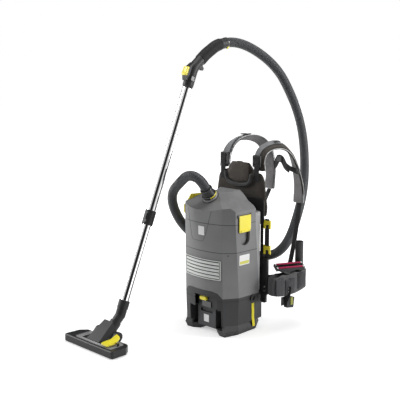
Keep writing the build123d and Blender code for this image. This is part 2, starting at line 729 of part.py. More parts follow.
RIGHT_STRAP = [(109, 735), (119, 756), (148, 767), (205, 769), (280, 755), (330, 715), (352, 670), (376, 600),
               (394, 550), (389, 500)]
with BuildPart() as shoulder_strap_right:
    outline = strip_outline(Plane.YZ.offset(60), RIGHT_STRAP, corner_radii([(0, *p) for p in RIGHT_STRAP]), 14)
    extrude(outline, amount=56)
shoulder_strap_right.part.label = "shoulder_strap_right"
export_step(shoulder_strap_right.part, "parts/shoulder_strap_right.step")

with BuildPart() as strap_buckles:
    # ladder buckles at the top of both straps
    for side in (1, -1):
        with BuildSketch(Plane.XZ.offset(-102.3)):
            with Locations((side * 93, 709)):
                RectangleRounded(42, 50, 5)
                with Locations((0, 12), (0, -12)):
                    Rectangle(32, 9, mode=Mode.SUBTRACT)
        extrude(amount=-7)
strap_buckles.part.label = "strap_buckles"
export_step(strap_buckles.part, "parts/strap_buckles.step")

BAND_X = 154.0
WING_HIGH = 90.0
with BuildPart() as harness_webbing:
    for side in (1, -1):
        # side bands from the lumbar plate up to the pad
        with Locations((side * BAND_X, 106, 390.3)):
            Box(24, 3, 169.4)
        # short straps between the pad and the ladder buckles
        with Locations((side * 96, 101, 676)):
            Box(28, 2.4, 108)
        # adjusting straps from the shoulder straps down to the hip belt
        end_y, end_z = LEFT_STRAP[-1] if side < 0 else RIGHT_STRAP[-1]
        top_z = end_z - (1.9 if side < 0 else 1.1)
        with BuildSketch(Plane.XY.offset(top_z)) as upper_end:
            with Locations((side * 90, end_y + 5)):
                Rectangle(24, 3)
        with BuildSketch(Plane.XY.offset(150 + WING_HIGH)) as lower_end:
            with Locations((side * 152, 255)):
                Rectangle(24, 3)
        loft(sections=[lower_end.sketch, upper_end.sketch])
harness_webbing.part.label = "harness_webbing"
export_step(harness_webbing.part, "parts/harness_webbing.step")

CHEST_PLANE = Plane(origin=(-60, 396, 655), x_dir=(120, -38, 0), z_dir=(38, 120, 0))
with BuildPart() as chest_strap:
    ribbon = strip_outline(
        CHEST_PLANE, [(9.5, 5), (26, 34), (62, 34), (88, 4), (122.5, -6)], [22, 14, 18], 20,
    )
    extrude(ribbon, amount=3)
chest_strap.part.label = "chest_strap"
export_step(chest_strap.part, "parts/chest_strap.step")

WING_POINTS = [(150, 112.6), (163, 133), (167, 210), (158, 345)]
with BuildPart() as hip_belt_right:
    plan = strip_outline(Plane.XY.offset(150), WING_POINTS, [14, 60], 12)
    extrude(plan, amount=WING_HIGH)
hip_belt_right.part.label = "hip_belt_right"
export_step(hip_belt_right.part, "parts/hip_belt_right.step")

with BuildPart() as hip_belt_left:
    plan = strip_outline(Plane.XY.offset(150), [(-x, y) for x, y in WING_POINTS], [14, 60], 12)
    extrude(plan, amount=WING_HIGH)
hip_belt_left.part.label = "hip_belt_left"
export_step(hip_belt_left.part, "parts/hip_belt_left.step")

with BuildPart() as frame_clips:
    # yellow hook clips across the rails and the side bands
    for side in (1, -1):
        for z in (344, 451):
            with Locations((side * 150, 109, z)):
                Box(44, 3, 36)
            with Locations((side * 139, 105, z + 12)):
                Box(3, 5, 10)
            with Locations((side * 170, 105, z)):
                Box(4, 11, 24)
frame_clips.part.label = "frame_clips"
export_step(frame_clips.part, "parts/frame_clips.step")

with BuildPart() as fasteners:
    # rivets of the lumbar plate
    for side in (1, -1):
        for z in (170, 187):
            with BuildSketch(Plane.XZ.offset(-REAR_Y - GAP)):
                with Locations((side * 152, z)):
                    Circle(4)
            extrude(amount=2)
fasteners.part.label = "fasteners"
export_step(fasteners.part, "parts/fasteners.step")

# ================================================================ pouch, tools and control unit
POUCH_IN_X = 173.5
POUCH_OUT_X = 214.0
CREVICE_X, CREVICE_Y = 193.6, 271.0
UPHOLSTERY_X, UPHOLSTERY_Y = 193.6, 186.0
POUCH_TOP_Z = 240.0
with BuildPart() as accessory_pouch:
    with Locations(((POUCH_IN_X + POUCH_OUT_X) / 2, 196, (139 + POUCH_TOP_Z) / 2)):
        Box(POUCH_OUT_X - POUCH_IN_X, 222, POUCH_TOP_Z - 139)
    fillet(accessory_pouch.edges().filter_by(Axis.Z).sort_by(Axis.X)[-2:], 12)
    with Locations((UPHOLSTERY_X, UPHOLSTERY_Y, 200)):
        Cylinder(17.6, 100, mode=Mode.SUBTRACT)
    with Locations((CREVICE_X, CREVICE_Y, 206)):
        Cylinder(18.1, 116, mode=Mode.SUBTRACT)
accessory_pouch.part.label = "accessory_pouch"
export_step(accessory_pouch.part, "parts/accessory_pouch.step")

with BuildPart() as crevice_tool:
    # socket upwards, narrow flat tip down in the pouch
    with Locations((CREVICE_X, CREVICE_Y, 300)):
        Cylinder(17.5, 124)
        Cylinder(15.5, 125, mode=Mode.SUBTRACT)
    with BuildSketch(Plane.XY.offset(238)) as socket:
        with Locations((CREVICE_X, CREVICE_Y)):
            Circle(17.5)
    with BuildSketch(Plane.XY.offset(152)) as tip:
        with Locations((CREVICE_X, CREVICE_Y)):
            SlotOverall(30, 14, rotation=90)
    loft(sections=[tip.sketch, socket.sketch])
crevice_tool.part.label = "crevice_tool"
export_step(crevice_tool.part, "parts/crevice_tool.step")

MOUTH = Plane(origin=(205, 190, 262), x_dir=(0.42, 0.9075, 0), z_dir=(0.393, -0.182, 0.901))
with BuildPart() as upholstery_tool:
    # neck down in the pouch, flared head with its wide mouth up and outwards
    with Locations((UPHOLSTERY_X, UPHOLSTERY_Y, 197)):
        Cylinder(17.2, 92)
    with BuildSketch(Plane.XY.offset(241)) as neck_top:
        with Locations((UPHOLSTERY_X, UPHOLSTERY_Y)):
            Rectangle(30, 34)
    with BuildSketch(Plane.XY.offset(258)) as head_low:
        with Locations((200, 188)):
            Rectangle(30, 100, rotation=-24)
    loft(sections=[neck_top.sketch, head_low.sketch])
    with BuildSketch(MOUTH):
        Rectangle(130, 36)
    extrude(amount=12)
    with BuildSketch(MOUTH.offset(12)):
        Rectangle(122, 12)
    extrude(amount=-14, mode=Mode.SUBTRACT)
upholstery_tool.part.label = "upholstery_tool"
export_step(upholstery_tool.part, "parts/upholstery_tool.step")

with BuildPart() as control_unit:
    # control box on a webbing tab under the pouch
    with Locations((200, 172, 121)):
        Box(3, 44, 36)
    with BuildSketch(Plane.YZ.offset(196)):
        with Locations((197, 111)):
            RectangleRounded(46, 46, 6, rotation=-8)
    extrude(amount=16)
    with Locations((212, 203, 116)):
        Box(6.4, 15, 32, mode=Mode.SUBTRACT)
control_unit.part.label = "control_unit"
export_step(control_unit.part, "parts/control_unit.step")

with BuildPart() as control_button:
    with Locations((212.4, 203, 116)):
        Box(4, 14, 31)
control_button.part.label = "control_button"
export_step(control_button.part, "parts/control_button.step")

# ================================================================ hose
COLLAR_END = COLLAR.origin + COLLAR.z_dir * 50.2
HOSE_POINTS = [
    tuple(COLLAR_END), tuple(COLLAR_END + COLLAR.z_dir * 34), (-22, -141, 660), (-66, -143, 658),
    (-124, -126, 622), (-196, -108, 572), (-218, -84, 500), (-212, -24, 404), (-205, 92, 322),
    (-150, 190, 300), (10, 222, 262), (96, 300, 300), (40, 470, 480), (-10, 556, 620), (-62, 596, 800),
    (-100, 566, 950), (-136, 480, 1104), (-160, 262, 1210.3), tuple(HOSE_END),
]
HOSE_RADII = corner_radii(HOSE_POINTS)
print("hose radii", [round(r) for r in HOSE_RADII])
with BuildPart() as suction_hose:
    with BuildLine() as hose_route:
        FilletPolyline(*HOSE_POINTS, radius=HOSE_RADII)
    with BuildSketch(Plane(origin=HOSE_POINTS[0], z_dir=COLLAR.z_dir)):
        Circle(HOSE_D / 2)
        Circle(HOSE_BORE / 2, mode=Mode.SUBTRACT)
    sweep()
hose_section = pi * ((HOSE_D / 2) ** 2 - (HOSE_BORE / 2) ** 2)
hose_length = sum(edge.length for edge in hose_route.edges())
print("hose length", round(hose_length, 1), "from volume", round(suction_hose.part.volume / hose_section, 1))
suction_hose.part.label = "suction_hose"
export_step(suction_hose.part, "parts/suction_hose.step")

# ================================================================ handle and upper wand
DUCT_START = TUBE_TOP + WAND_DIR * 13.1
DUCT_END = HOSE_END - HOSE_END_DIR * 0.25
DUCT_POINTS = [
    DUCT_START, TUBE_TOP + WAND_DIR * 89, (WAND_X, 58, 1147), DUCT_END - HOSE_END_DIR * 52, DUCT_END,
]
DUCT_RADII = [60, 120, 150]
BUTTON_PLANE = Plane(origin=(WAND_X, -60.5, 1080), x_dir=(1, 0, 0), z_dir=(0, -0.905, 0.4245))
with BuildPart() as handle_cuff:
    # socket over the top of the tube
    with BuildSketch(wand_plane(-13)):
        Circle(22.5)
        Circle(TUBE_UPPER_D / 2 + 0.2, mode=Mode.SUBTRACT)
    extrude(amount=-62)
    chamfer(handle_cuff.faces().sort_by(Axis.Z)[0].outer_wire().edges(), 1.5)
    with BuildSketch(TUBE_BUTTON_PLANE.offset(-4)):
        Circle(5 + PIVOT_CLEAR)
    extrude(amount=12, mode=Mode.SUBTRACT)
handle_cuff.part.label = "handle_cuff"
export_step(handle_cuff.part, "parts/handle_cuff.step")

with BuildPart() as handle_body:
    with BuildLine() as duct_route:
        FilletPolyline(*DUCT_POINTS, radius=DUCT_RADII)
    with BuildSketch(Plane(origin=DUCT_START, z_dir=WAND_DIR)):
        Circle(23)
    sweep()
    # block on the outer side of the bend for the buttons
    with BuildSketch(Plane.YZ.offset(WAND_X - 13)):
        with BuildLine():
            FilletPolyline((-66, 1040), (-67, 1062), (-52, 1094), (-20, 1114), (4, 1112), (-20, 1040),
                           radius=4, close=True)
        make_face()
    extrude(amount=26)
    # hook under the bend
    with BuildSketch(Plane.YZ.offset(WAND_X - 5)):
        with BuildLine():
            FilletPolyline((14, 1100), (30, 1110), (42, 1086), (36, 1078), (26, 1080), (22, 1092), radius=2.5,
                           close=True)
        make_face()
    extrude(amount=10)
    with BuildLine() as bore_route:
        FilletPolyline(*DUCT_POINTS, radius=DUCT_RADII)
    with BuildSketch(Plane(origin=DUCT_START, z_dir=WAND_DIR)):
        Circle(18.5)
    sweep(path=bore_route.line, mode=Mode.SUBTRACT)
    # pocket of the button
    with BuildSketch(BUTTON_PLANE.offset(-6.3)):
        RectangleRounded(16.6, 26.6, 3)
    extrude(amount=20, mode=Mode.SUBTRACT)
handle_body.part.label = "handle_body"
export_step(handle_body.part, "parts/handle_body.step")

with BuildPart() as handle_grip:
    # soft sleeve over the oblique run of the handle
    with BuildLine() as grip_route:
        FilletPolyline(*DUCT_POINTS, radius=DUCT_RADII)
    with BuildSketch(Plane(origin=DUCT_START, z_dir=WAND_DIR)):
        Circle(25.4)
        Circle(23.1, mode=Mode.SUBTRACT)
    sweep(path=grip_route.line)
    with BuildSketch(Plane.YZ.offset(WAND_X - 30)):
        with BuildLine():
            Polyline((47, 1098), (15, 1138), (20, 1200), (135, 1215), (150, 1150), (47, 1098))
        make_face()
    extrude(amount=60, mode=Mode.INTERSECT)
handle_grip.part.label = "handle_grip"
export_step(handle_grip.part, "parts/handle_grip.step")

with BuildPart() as handle_button:
    with BuildSketch(BUTTON_PLANE.offset(-4)):
        RectangleRounded(16, 26, 3)
    extrude(amount=8)
handle_button.part.label = "handle_button"
export_step(handle_button.part, "parts/handle_button.step")

SLIDER_PLANE = Plane(origin=(WAND_X + 23.3, -42, 1046), x_dir=(0, 0.3834, 0.9235), z_dir=(1, 0, 0))
with BuildPart() as air_slider:
    with BuildSketch(SLIDER_PLANE):
        RectangleRounded(18, 16, 2)
    extrude(amount=3)
air_slider.part.label = "air_slider"
export_step(air_slider.part, "parts/air_slider.step")

LOCK_FROM, LOCK_TO = 532, 594
with BuildPart() as upper_tube:
    with BuildSketch(wand_plane(0)):
        Circle(TUBE_UPPER_D / 2)
        Circle(TUBE_LOWER_D / 2 + 0.15, mode=Mode.SUBTRACT)
    extrude(amount=-(LOCK_TO - 4))
upper_tube.part.label = "upper_tube"
export_step(upper_tube.part, "parts/upper_tube.step")

with BuildPart() as lock_housing:
    with BuildSketch(wand_plane(LOCK_FROM)):
        Circle(23)
        Circle(TUBE_UPPER_D / 2, mode=Mode.SUBTRACT)
    extrude(amount=-(LOCK_TO - LOCK_FROM))
    chamfer(lock_housing.edges().filter_by(GeomType.CIRCLE).group_by(SortBy.RADIUS)[-1], 1.5)
    # flat seat of the slider
    with BuildSketch(wand_plane(LOCK_FROM + 10)):
        with Locations((0, -24)):
            Rectangle(18, 7)
    extrude(amount=-42, mode=Mode.SUBTRACT)
lock_housing.part.label = "lock_housing"
export_step(lock_housing.part, "parts/lock_housing.step")

with BuildPart() as lock_slider:
    with BuildSketch(wand_plane(LOCK_FROM + 14)):
        with Locations((0, -22.8)):
            Rectangle(14, 4)
    extrude(amount=-26)
lock_slider.part.label = "lock_slider"
export_step(lock_slider.part, "parts/lock_slider.step")

with BuildPart() as tube_button:
    with BuildSketch(TUBE_BUTTON_PLANE):
        Circle(5)
    extrude(amount=4)
tube_button.part.label = "tube_button"
export_step(tube_button.part, "parts/tube_button.step")

# ================================================================ lower wand, knuckle and floor nozzle
TUBE_END = 942.0
NECK_TOP = 912.0
NECK_BEND = TUBE_TOP - WAND_DIR * 973
BARREL = Vector(WAND_X, -487, 44)
TWIST_DIR = (BARREL - NECK_BEND).normalized()
with BuildPart() as lower_tube:
    with BuildSketch(wand_plane(520)):
        Circle(TUBE_LOWER_D / 2)
        Circle(TUBE_LOWER_D / 2 - 1.2, mode=Mode.SUBTRACT)
    extrude(amount=-(TUBE_END - 520))
lower_tube.part.label = "lower_tube"
export_step(lower_tube.part, "parts/lower_tube.step")

NECK_END = BARREL - TWIST_DIR * 56
with BuildPart() as nozzle_neck:
    with BuildSketch(wand_plane(NECK_TOP)):
        Circle(22.5)
    extrude(amount=-34)
    chamfer(nozzle_neck.edges().filter_by(GeomType.CIRCLE), 1.5)
    with BuildSketch(wand_plane(NECK_TOP + 20)):
        Circle(21)
    extrude(amount=-(973 - NECK_TOP - 20))
    with Locations(NECK_BEND):
        Sphere(21)
    with BuildSketch(Plane(origin=NECK_BEND, x_dir=(1, 0, 0), z_dir=TWIST_DIR)):
        Circle(20)
    extrude(amount=(NECK_END - NECK_BEND).length)
    with BuildSketch(wand_plane(NECK_TOP - 2)):
        Circle(TUBE_LOWER_D / 2 + 0.03)
    extrude(amount=-(TUBE_END + 2.2 - NECK_TOP), mode=Mode.SUBTRACT)
nozzle_neck.part.label = "nozzle_neck"
export_step(nozzle_neck.part, "parts/nozzle_neck.step")
with BuildPart() as nozzle_knuckle:
    # twisting socket and cross barrel with its trunnions
    with BuildSketch(Plane(origin=NECK_END + TWIST_DIR * 0.3, x_dir=(1, 0, 0), z_dir=TWIST_DIR)):
        Circle(23)
    extrude(amount=44)
    with BuildSketch(Plane.YZ.offset(WAND_X - 50)):
        with Locations((BARREL.Y, BARREL.Z)):
            Circle(19)
    extrude(amount=100)
    with BuildSketch(Plane.YZ.offset(WAND_X - 64)):
        with Locations((BARREL.Y, BARREL.Z)):
            Circle(8)
    extrude(amount=128)
nozzle_knuckle.part.label = "nozzle_knuckle"
export_step(nozzle_knuckle.part, "parts/nozzle_knuckle.step")

NOZZLE_HALF = 156.5
NOZZLE_FRONT_Y = -592.0
PEDAL_Y, PEDAL_Z = -535.0, 45.5
PEDAL_LEFT = WAND_X + NOZZLE_HALF - 85.5
PEDAL_RIGHT = WAND_X + NOZZLE_HALF - 41.5
PLATE_LEFT = WAND_X - NOZZLE_HALF + 65.5
PLATE_RIGHT = WAND_X + NOZZLE_HALF - 26.5
AXLE_Y, AXLE_Z = -512.0, 8.2
HOOD_FRONT_Y = -565.0
HOOD_REAR_Y = -483.0
HOOD_TOP_Z = 97.0


def hood_section(y, half_low, half_high, top_z):
    """Upright section of the hood over the barrel."""
    with BuildSketch(Plane.XZ.offset(-y)) as section:
        Polygon(
            (WAND_X - half_low, 31), (WAND_X + half_low, 31), (WAND_X + half_high, top_z),
            (WAND_X - half_high, top_z), align=None,
        )
    return section.sketch


with BuildPart() as nozzle_body:
    with BuildSketch(Plane.XY.offset(4)):
        with BuildLine():
            FilletPolyline(
                (WAND_X - NOZZLE_HALF, NOZZLE_FRONT_Y), (WAND_X + NOZZLE_HALF, NOZZLE_FRONT_Y),
                (WAND_X + NOZZLE_HALF - 4, -520), (WAND_X + 128, -490), (WAND_X - 128, -490),
                (WAND_X - NOZZLE_HALF + 4, -520), radius=10, close=True,
            )
        make_face()
    extrude(amount=28)
    chamfer(nozzle_body.faces().sort_by(Axis.Z)[-1].edges(), 3)
    # cheeks that carry the barrel, running forward as wedges
    for side in (1, -1):
        with BuildSketch(Plane.YZ.offset(WAND_X + side * 59.5)):
            with Locations((BARREL.Y, BARREL.Z)):
                Circle(20)
            with BuildLine():
                Polyline((-530, 28), (-504, 55), (-487, 44), (-487, 24), (-530, 24), (-530, 28))
            make_face()
        extrude(amount=7, both=True)
    # hood over the barrel, a hollow wedge open to the rear
    loft(sections=[hood_section(HOOD_FRONT_Y, 38.5, 38.5, 35.5), hood_section(HOOD_REAR_Y, 65, 27, HOOD_TOP_Z)])
    loft(
        sections=[
            hood_section(HOOD_FRONT_Y + 6, 34, 34, 32.6), hood_section(HOOD_REAR_Y + 0.1, 61, 24, HOOD_TOP_Z - 3),
        ],
        mode=Mode.SUBTRACT,
    )
    # room for the swinging neck socket
    with BuildSketch(Plane.YZ.offset(WAND_X - 26.5)):
        with Locations((BARREL.Y, BARREL.Z)):
            Circle(26.8)
        with BuildLine():
            Polyline(
                (-507.7, 57.1), (-476, 107), (-430, 107), (-430, 18), (-487, 18), (-507.7, 57.1),
            )
        make_face()
    extrude(amount=53, mode=Mode.SUBTRACT)
    # room for the barrel between the cheeks
    with BuildSketch(Plane.YZ.offset(WAND_X - 52)):
        with Locations((BARREL.Y, BARREL.Z)):
            Circle(19.6)
    extrude(amount=104, mode=Mode.SUBTRACT)
    with BuildSketch(Plane.YZ.offset(WAND_X - 70)):
        with Locations((BARREL.Y, BARREL.Z)):
            Circle(8 + PIVOT_CLEAR)
    extrude(amount=140, mode=Mode.SUBTRACT)
    # ears of the pedal
    for x in (PEDAL_LEFT - 9.5, PEDAL_RIGHT + 4.5):
        with BuildSketch(Plane.YZ.offset(x)):
            with Locations((PEDAL_Y, PEDAL_Z)):
                Circle(4.5)
            with Locations((PEDAL_Y, 37)):
                Rectangle(9, 17)
            with Locations((PEDAL_Y, PEDAL_Z)):
                Circle(2 + PIVOT_CLEAR, mode=Mode.SUBTRACT)
        extrude(amount=5)
        with BuildSketch(Plane.YZ.offset(x)):
            with Locations((PEDAL_Y, PEDAL_Z)):
                Circle(2 + PIVOT_CLEAR)
        extrude(amount=8, mode=Mode.SUBTRACT)
    # suction chamber open underneath
    with Locations((WAND_X, -554, 14)):
        Box(2 * NOZZLE_HALF - 16, 64, 24, mode=Mode.SUBTRACT)
    with Locations((WAND_X, -512, 12)):
        Box(250, 20, 16.2, mode=Mode.SUBTRACT)
    with BuildSketch(Plane.YZ.offset(WAND_X - 132)):
        with Locations((AXLE_Y, AXLE_Z)):
            Circle(2 + PIVOT_CLEAR)
    extrude(amount=264, mode=Mode.SUBTRACT)
nozzle_body.part.label = "nozzle_body"
export_step(nozzle_body.part, "parts/nozzle_body.step")

with BuildPart() as nozzle_top_plate:
    with BuildSketch(Plane.XY.offset(32)):
        with BuildLine():
            FilletPolyline(
                (PLATE_LEFT, -580), (PLATE_RIGHT, -580), (PLATE_RIGHT - 6, -508), (WAND_X + 74, -500),
                (PLATE_LEFT - 6, -500), radius=5, close=True,
            )
        make_face()
        # around the hood and the ears of the pedal
        with Locations((WAND_X, (HOOD_FRONT_Y - 2 - 480) / 2)):
            Rectangle(138, -HOOD_FRONT_Y - 480 + 2, mode=Mode.SUBTRACT)
        for x in (PEDAL_LEFT - 7, PEDAL_RIGHT + 7):
            with Locations((x, PEDAL_Y)):
                Rectangle(7, 11, mode=Mode.SUBTRACT)
    extrude(amount=2.4)
    # ribs across both wings
    for i in range(5):
        with Locations((WAND_X - 76.5 - 5 * i, -545, 34.4)):
            Box(1.6, 62, 1)
nozzle_top_plate.part.label = "nozzle_top_plate"
export_step(nozzle_top_plate.part, "parts/nozzle_top_plate.step")

with BuildPart() as nozzle_pedal:
    # rocker, bent up towards the rear
    with BuildSketch(Plane.YZ.offset(PEDAL_LEFT - 10)):
        with BuildLine():
            Polyline(
                (-588, 42.5), (PEDAL_Y, 42.5), (-496, 57), (-498, 63), (-533, 49.5), (-588, 48.5), (-588, 42.5),
            )
        make_face()
    extrude(amount=PEDAL_RIGHT - PEDAL_LEFT + 20)
    with BuildSketch(Plane.XY.offset(40)):
        with BuildLine():
            FilletPolyline((-90, -500), (-60, -508), (-46, -538), (-42, -586), (-82, -584), (-86, -556),
                           radius=4, close=True)
        make_face()
    extrude(amount=30, mode=Mode.INTERSECT)
    with BuildSketch(Plane.YZ.offset(PEDAL_LEFT - 8)):
        with Locations((PEDAL_Y, PEDAL_Z)):
            Circle(2)
    extrude(amount=PEDAL_RIGHT - PEDAL_LEFT + 16)
nozzle_pedal.part.label = "nozzle_pedal"
export_step(nozzle_pedal.part, "parts/nozzle_pedal.step")

with BuildPart() as nozzle_brushes:
    for y in (-580, -530):
        with Locations((WAND_X, y, 18)):
            Box(2 * NOZZLE_HALF - 16.6, 6, 8)
        with Locations((WAND_X, y, 9.5)):
            Box(2 * NOZZLE_HALF - 37, 3, 9)
    for x in (WAND_X - NOZZLE_HALF + 57.5, WAND_X + NOZZLE_HALF - 57.5):
        with Locations((x, -555, 20)):
            Box(6, 50, 4)
nozzle_brushes.part.label = "nozzle_brushes"
export_step(nozzle_brushes.part, "parts/nozzle_brushes.step")

with BuildPart() as nozzle_rollers:
    with BuildSketch(Plane.YZ.offset(WAND_X - 131)):
        with Locations((AXLE_Y, AXLE_Z)):
            Circle(2)
    extrude(amount=262)
    for x in (-110, 110):
        with BuildSketch(Plane.YZ.offset(WAND_X + x - 7)):
            with Locations((AXLE_Y, AXLE_Z)):
                Circle(8)
        extrude(amount=14)
nozzle_rollers.part.label = "nozzle_rollers"
export_step(nozzle_rollers.part, "parts/nozzle_rollers.step")
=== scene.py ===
import bpy
import json
import math
from mathutils import Matrix, Vector


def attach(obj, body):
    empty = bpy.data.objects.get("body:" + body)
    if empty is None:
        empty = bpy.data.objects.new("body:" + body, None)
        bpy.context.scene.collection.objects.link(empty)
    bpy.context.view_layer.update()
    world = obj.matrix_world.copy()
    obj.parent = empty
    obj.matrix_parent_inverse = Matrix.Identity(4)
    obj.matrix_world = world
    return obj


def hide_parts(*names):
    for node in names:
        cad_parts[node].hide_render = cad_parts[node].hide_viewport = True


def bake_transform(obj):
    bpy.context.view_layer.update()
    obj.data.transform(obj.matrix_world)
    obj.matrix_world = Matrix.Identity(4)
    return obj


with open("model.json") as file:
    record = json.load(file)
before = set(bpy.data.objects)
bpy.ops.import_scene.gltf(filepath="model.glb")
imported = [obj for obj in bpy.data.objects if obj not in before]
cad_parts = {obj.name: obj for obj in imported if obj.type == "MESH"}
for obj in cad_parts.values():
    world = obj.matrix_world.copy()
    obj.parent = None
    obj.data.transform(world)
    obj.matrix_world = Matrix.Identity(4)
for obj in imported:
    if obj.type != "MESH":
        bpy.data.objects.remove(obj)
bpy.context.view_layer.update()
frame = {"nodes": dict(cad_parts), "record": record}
NODES = frame["nodes"]

# ---------------------------------------- camera
scene = bpy.context.scene
bpy.ops.object.camera_add(
    location=(2.359, -2.418, 1.125),
    rotation=(math.radians(80.3), 0, math.radians(45.9)),
)
camera = bpy.context.object
camera.name = "camera"
camera.data.lens = 74.0
camera.data.sensor_width = 36.0
camera.data.clip_end = 60.0
scene.camera = camera
scene.view_settings.view_transform = "Standard"


# ---------------------------------------- material helpers
# painted shade in seams and gaps: an ambient occlusion node darkens the colour where the surface lies deep in
# a narrow seam
SEAM_SHUT = 0.42           # share of open air at which a seam is darkest
SEAM_OPEN = 0.92           # share of open air from which a surface keeps its colour
SEAM_SHADE_DARKEST = 0.1
# painted shade lines where two mouldings meet, in place of the shade in the seam between them
SHADE_LINE_HALF_WIDTH = 0.0015   # of a line painted where two mouldings meet
SHADE_LINE_DARKEST = 0.12


def new_material(name):
    """A node material, its tree and its Principled shader."""
    mat = bpy.data.materials.new(name)
    mat.use_nodes = True
    return mat, mat.node_tree, mat.node_tree.nodes["Principled BSDF"]


def add_node(tree, kind, **values):
    """One node with some of its settings."""
    node = tree.nodes.new(kind)
    for key, value in values.items():
        setattr(node, key, value)
    return node


def maths(tree, operation, *values):
    """A sum worked out from sockets and plain numbers."""
    node = add_node(tree, "ShaderNodeMath", operation=operation)
    for socket, value in zip(node.inputs, values):
        if isinstance(value, (int, float)):
            socket.default_value = value
        else:
            tree.links.new(value, socket)
    return node.outputs[0]


def noise(tree, coord, scale, detail=2.0, roughness=0.5):
    """A noise texture on the given coordinates."""
    node = add_node(tree, "ShaderNodeTexNoise")
    node.inputs["Scale"].default_value = scale
    node.inputs["Detail"].default_value = detail
    node.inputs["Roughness"].default_value = roughness
    tree.links.new(coord, node.inputs["Vector"])
    return node.outputs["Fac"]


def spread(tree, value, low, high, start=0.0, stop=1.0):
    """A value that runs from start to stop, spread from low to high."""
    node = add_node(tree, "ShaderNodeMapRange")
    node.inputs["From Min"].default_value = start
    node.inputs["From Max"].default_value = stop
    node.inputs["To Min"].default_value = low
    node.inputs["To Max"].default_value = high
    tree.links.new(value, node.inputs["Value"])
    return node.outputs["Result"]


def toned(tree, value, start, stop, color, shade):
    """A colour that goes from darker to lighter as a value runs from start to stop."""
    node = add_node(tree, "ShaderNodeValToRGB")
    darker, lighter = node.color_ramp.elements
    darker.position = start
    lighter.position = stop
    darker.color = (*(c * (1 - shade) for c in color), 1)
    lighter.color = (*(min(1, c * (1 + shade)) for c in color), 1)
    tree.links.new(value, node.inputs["Fac"])
    return node.outputs["Color"]


def dimmed(tree, color, share):
    """A colour times a share."""
    node = add_node(tree, "ShaderNodeVectorMath", operation="SCALE")
    tree.links.new(color, node.inputs[0])
    tree.links.new(share, node.inputs["Scale"])
    return node.outputs[0]


def bump(tree, shader, height, strength, distance, normal=None):
    """A bump on the shader's normal, on top of another bump if one is given."""
    node = add_node(tree, "ShaderNodeBump")
    node.inputs["Strength"].default_value = strength
    node.inputs["Distance"].default_value = distance
    tree.links.new(height, node.inputs["Height"])
    if normal is not None:
        tree.links.new(normal, node.inputs["Normal"])
    tree.links.new(node.outputs["Normal"], shader.inputs["Normal"])
    return node.outputs["Normal"]


def object_coord(tree):
    return add_node(tree, "ShaderNodeTexCoord").outputs["Object"]


def split(tree, coord):
    """The X, Y and Z of a place."""
    node = add_node(tree, "ShaderNodeSeparateXYZ")
    tree.links.new(coord, node.inputs["Vector"])
    return node.outputs


def painted_seam_shade(tree, color, reach):
    """Paints shade into a colour where the surface lies deep in a narrow seam or gap, by ambient occlusion.
    """
    air = add_node(tree, "ShaderNodeAmbientOcclusion", samples=8)
    air.inputs["Distance"].default_value = reach
    return dimmed(tree, color, spread(tree, air.outputs["AO"], SEAM_SHADE_DARKEST, 1.0, SEAM_SHUT, SEAM_OPEN))


def painted_shade_lines(tree, coord, color, heights):
    """Paints shade into a colour in narrow level lines where two mouldings meet, in place of the shade in the
    seam between them.
    """
    up = split(tree, coord)["Z"]
    for height in heights:
        away = maths(tree, "ABSOLUTE", maths(tree, "SUBTRACT", up, height))
        share = spread(tree, away, SHADE_LINE_DARKEST, 1.0, SHADE_LINE_HALF_WIDTH * 0.5, SHADE_LINE_HALF_WIDTH)
        color = dimmed(tree, color, share)
    return color


def plastic(
    name, color, rough=0.45, grain=1600.0, grain_depth=0.00004, shade=0.06, spec=0.3, coat=0.0,
    shaded_seam_reach=0.0, lines=(),
):
    """Moulded plastic: fine spark-eroded grain, faint mottling and uneven sheen."""
    mat, tree, shader = new_material(name)
    coord = object_coord(tree)
    fine = noise(tree, coord, grain, 2, 0.6)
    broad = noise(tree, coord, 9, 3, 0.55)
    shown = toned(tree, broad, 0.35, 0.65, color, shade)
    # painted shade in narrow seams and gaps
    if shaded_seam_reach:
        shown = painted_seam_shade(tree, shown, shaded_seam_reach)
    # painted shade lines at the given heights
    if lines:
        shown = painted_shade_lines(tree, coord, shown, lines)
    tree.links.new(shown, shader.inputs["Base Color"])
    tree.links.new(spread(tree, broad, rough - 0.05, rough + 0.06), shader.inputs["Roughness"])
    shader.inputs["Specular IOR Level"].default_value = spec
    shader.inputs["Coat Weight"].default_value = coat
    shader.inputs["Coat Roughness"].default_value = 0.15
    bump(tree, shader, fine, 0.6, grain_depth)
    return mat


def metal(name, color, rough=0.25, brushed=0.0):
    """Bare metal, with fine lines if brushed."""
    mat, tree, shader = new_material(name)
    coord = object_coord(tree)
    shader.inputs["Metallic"].default_value = 1.0
    shader.inputs["Base Color"].default_value = (*color, 1)
    broad = noise(tree, coord, 60, 3, 0.6)
    tree.links.new(spread(tree, broad, rough - 0.03, rough + 0.05), shader.inputs["Roughness"])
    if brushed:
        stretch = add_node(tree, "ShaderNodeMapping")
        stretch.inputs["Scale"].default_value = (40, 40, 2400)
        tree.links.new(coord, stretch.inputs["Vector"])
        bump(tree, shader, noise(tree, stretch.outputs["Vector"], 1.0, 2, 0.5), brushed, 0.00003)
    return mat


def weave(tree, coord, pitch, plane):
    """Height of a plain weave on object coordinates, in the plane the cloth mostly lies in."""
    place = split(tree, coord)
    across, along = (
        maths(tree, "SINE", maths(tree, "MULTIPLY", place[axis], 2 * math.pi / pitch)) for axis in plane
    )
    return maths(tree, "MULTIPLY_ADD", maths(tree, "MULTIPLY", across, along), 0.5, 0.5)


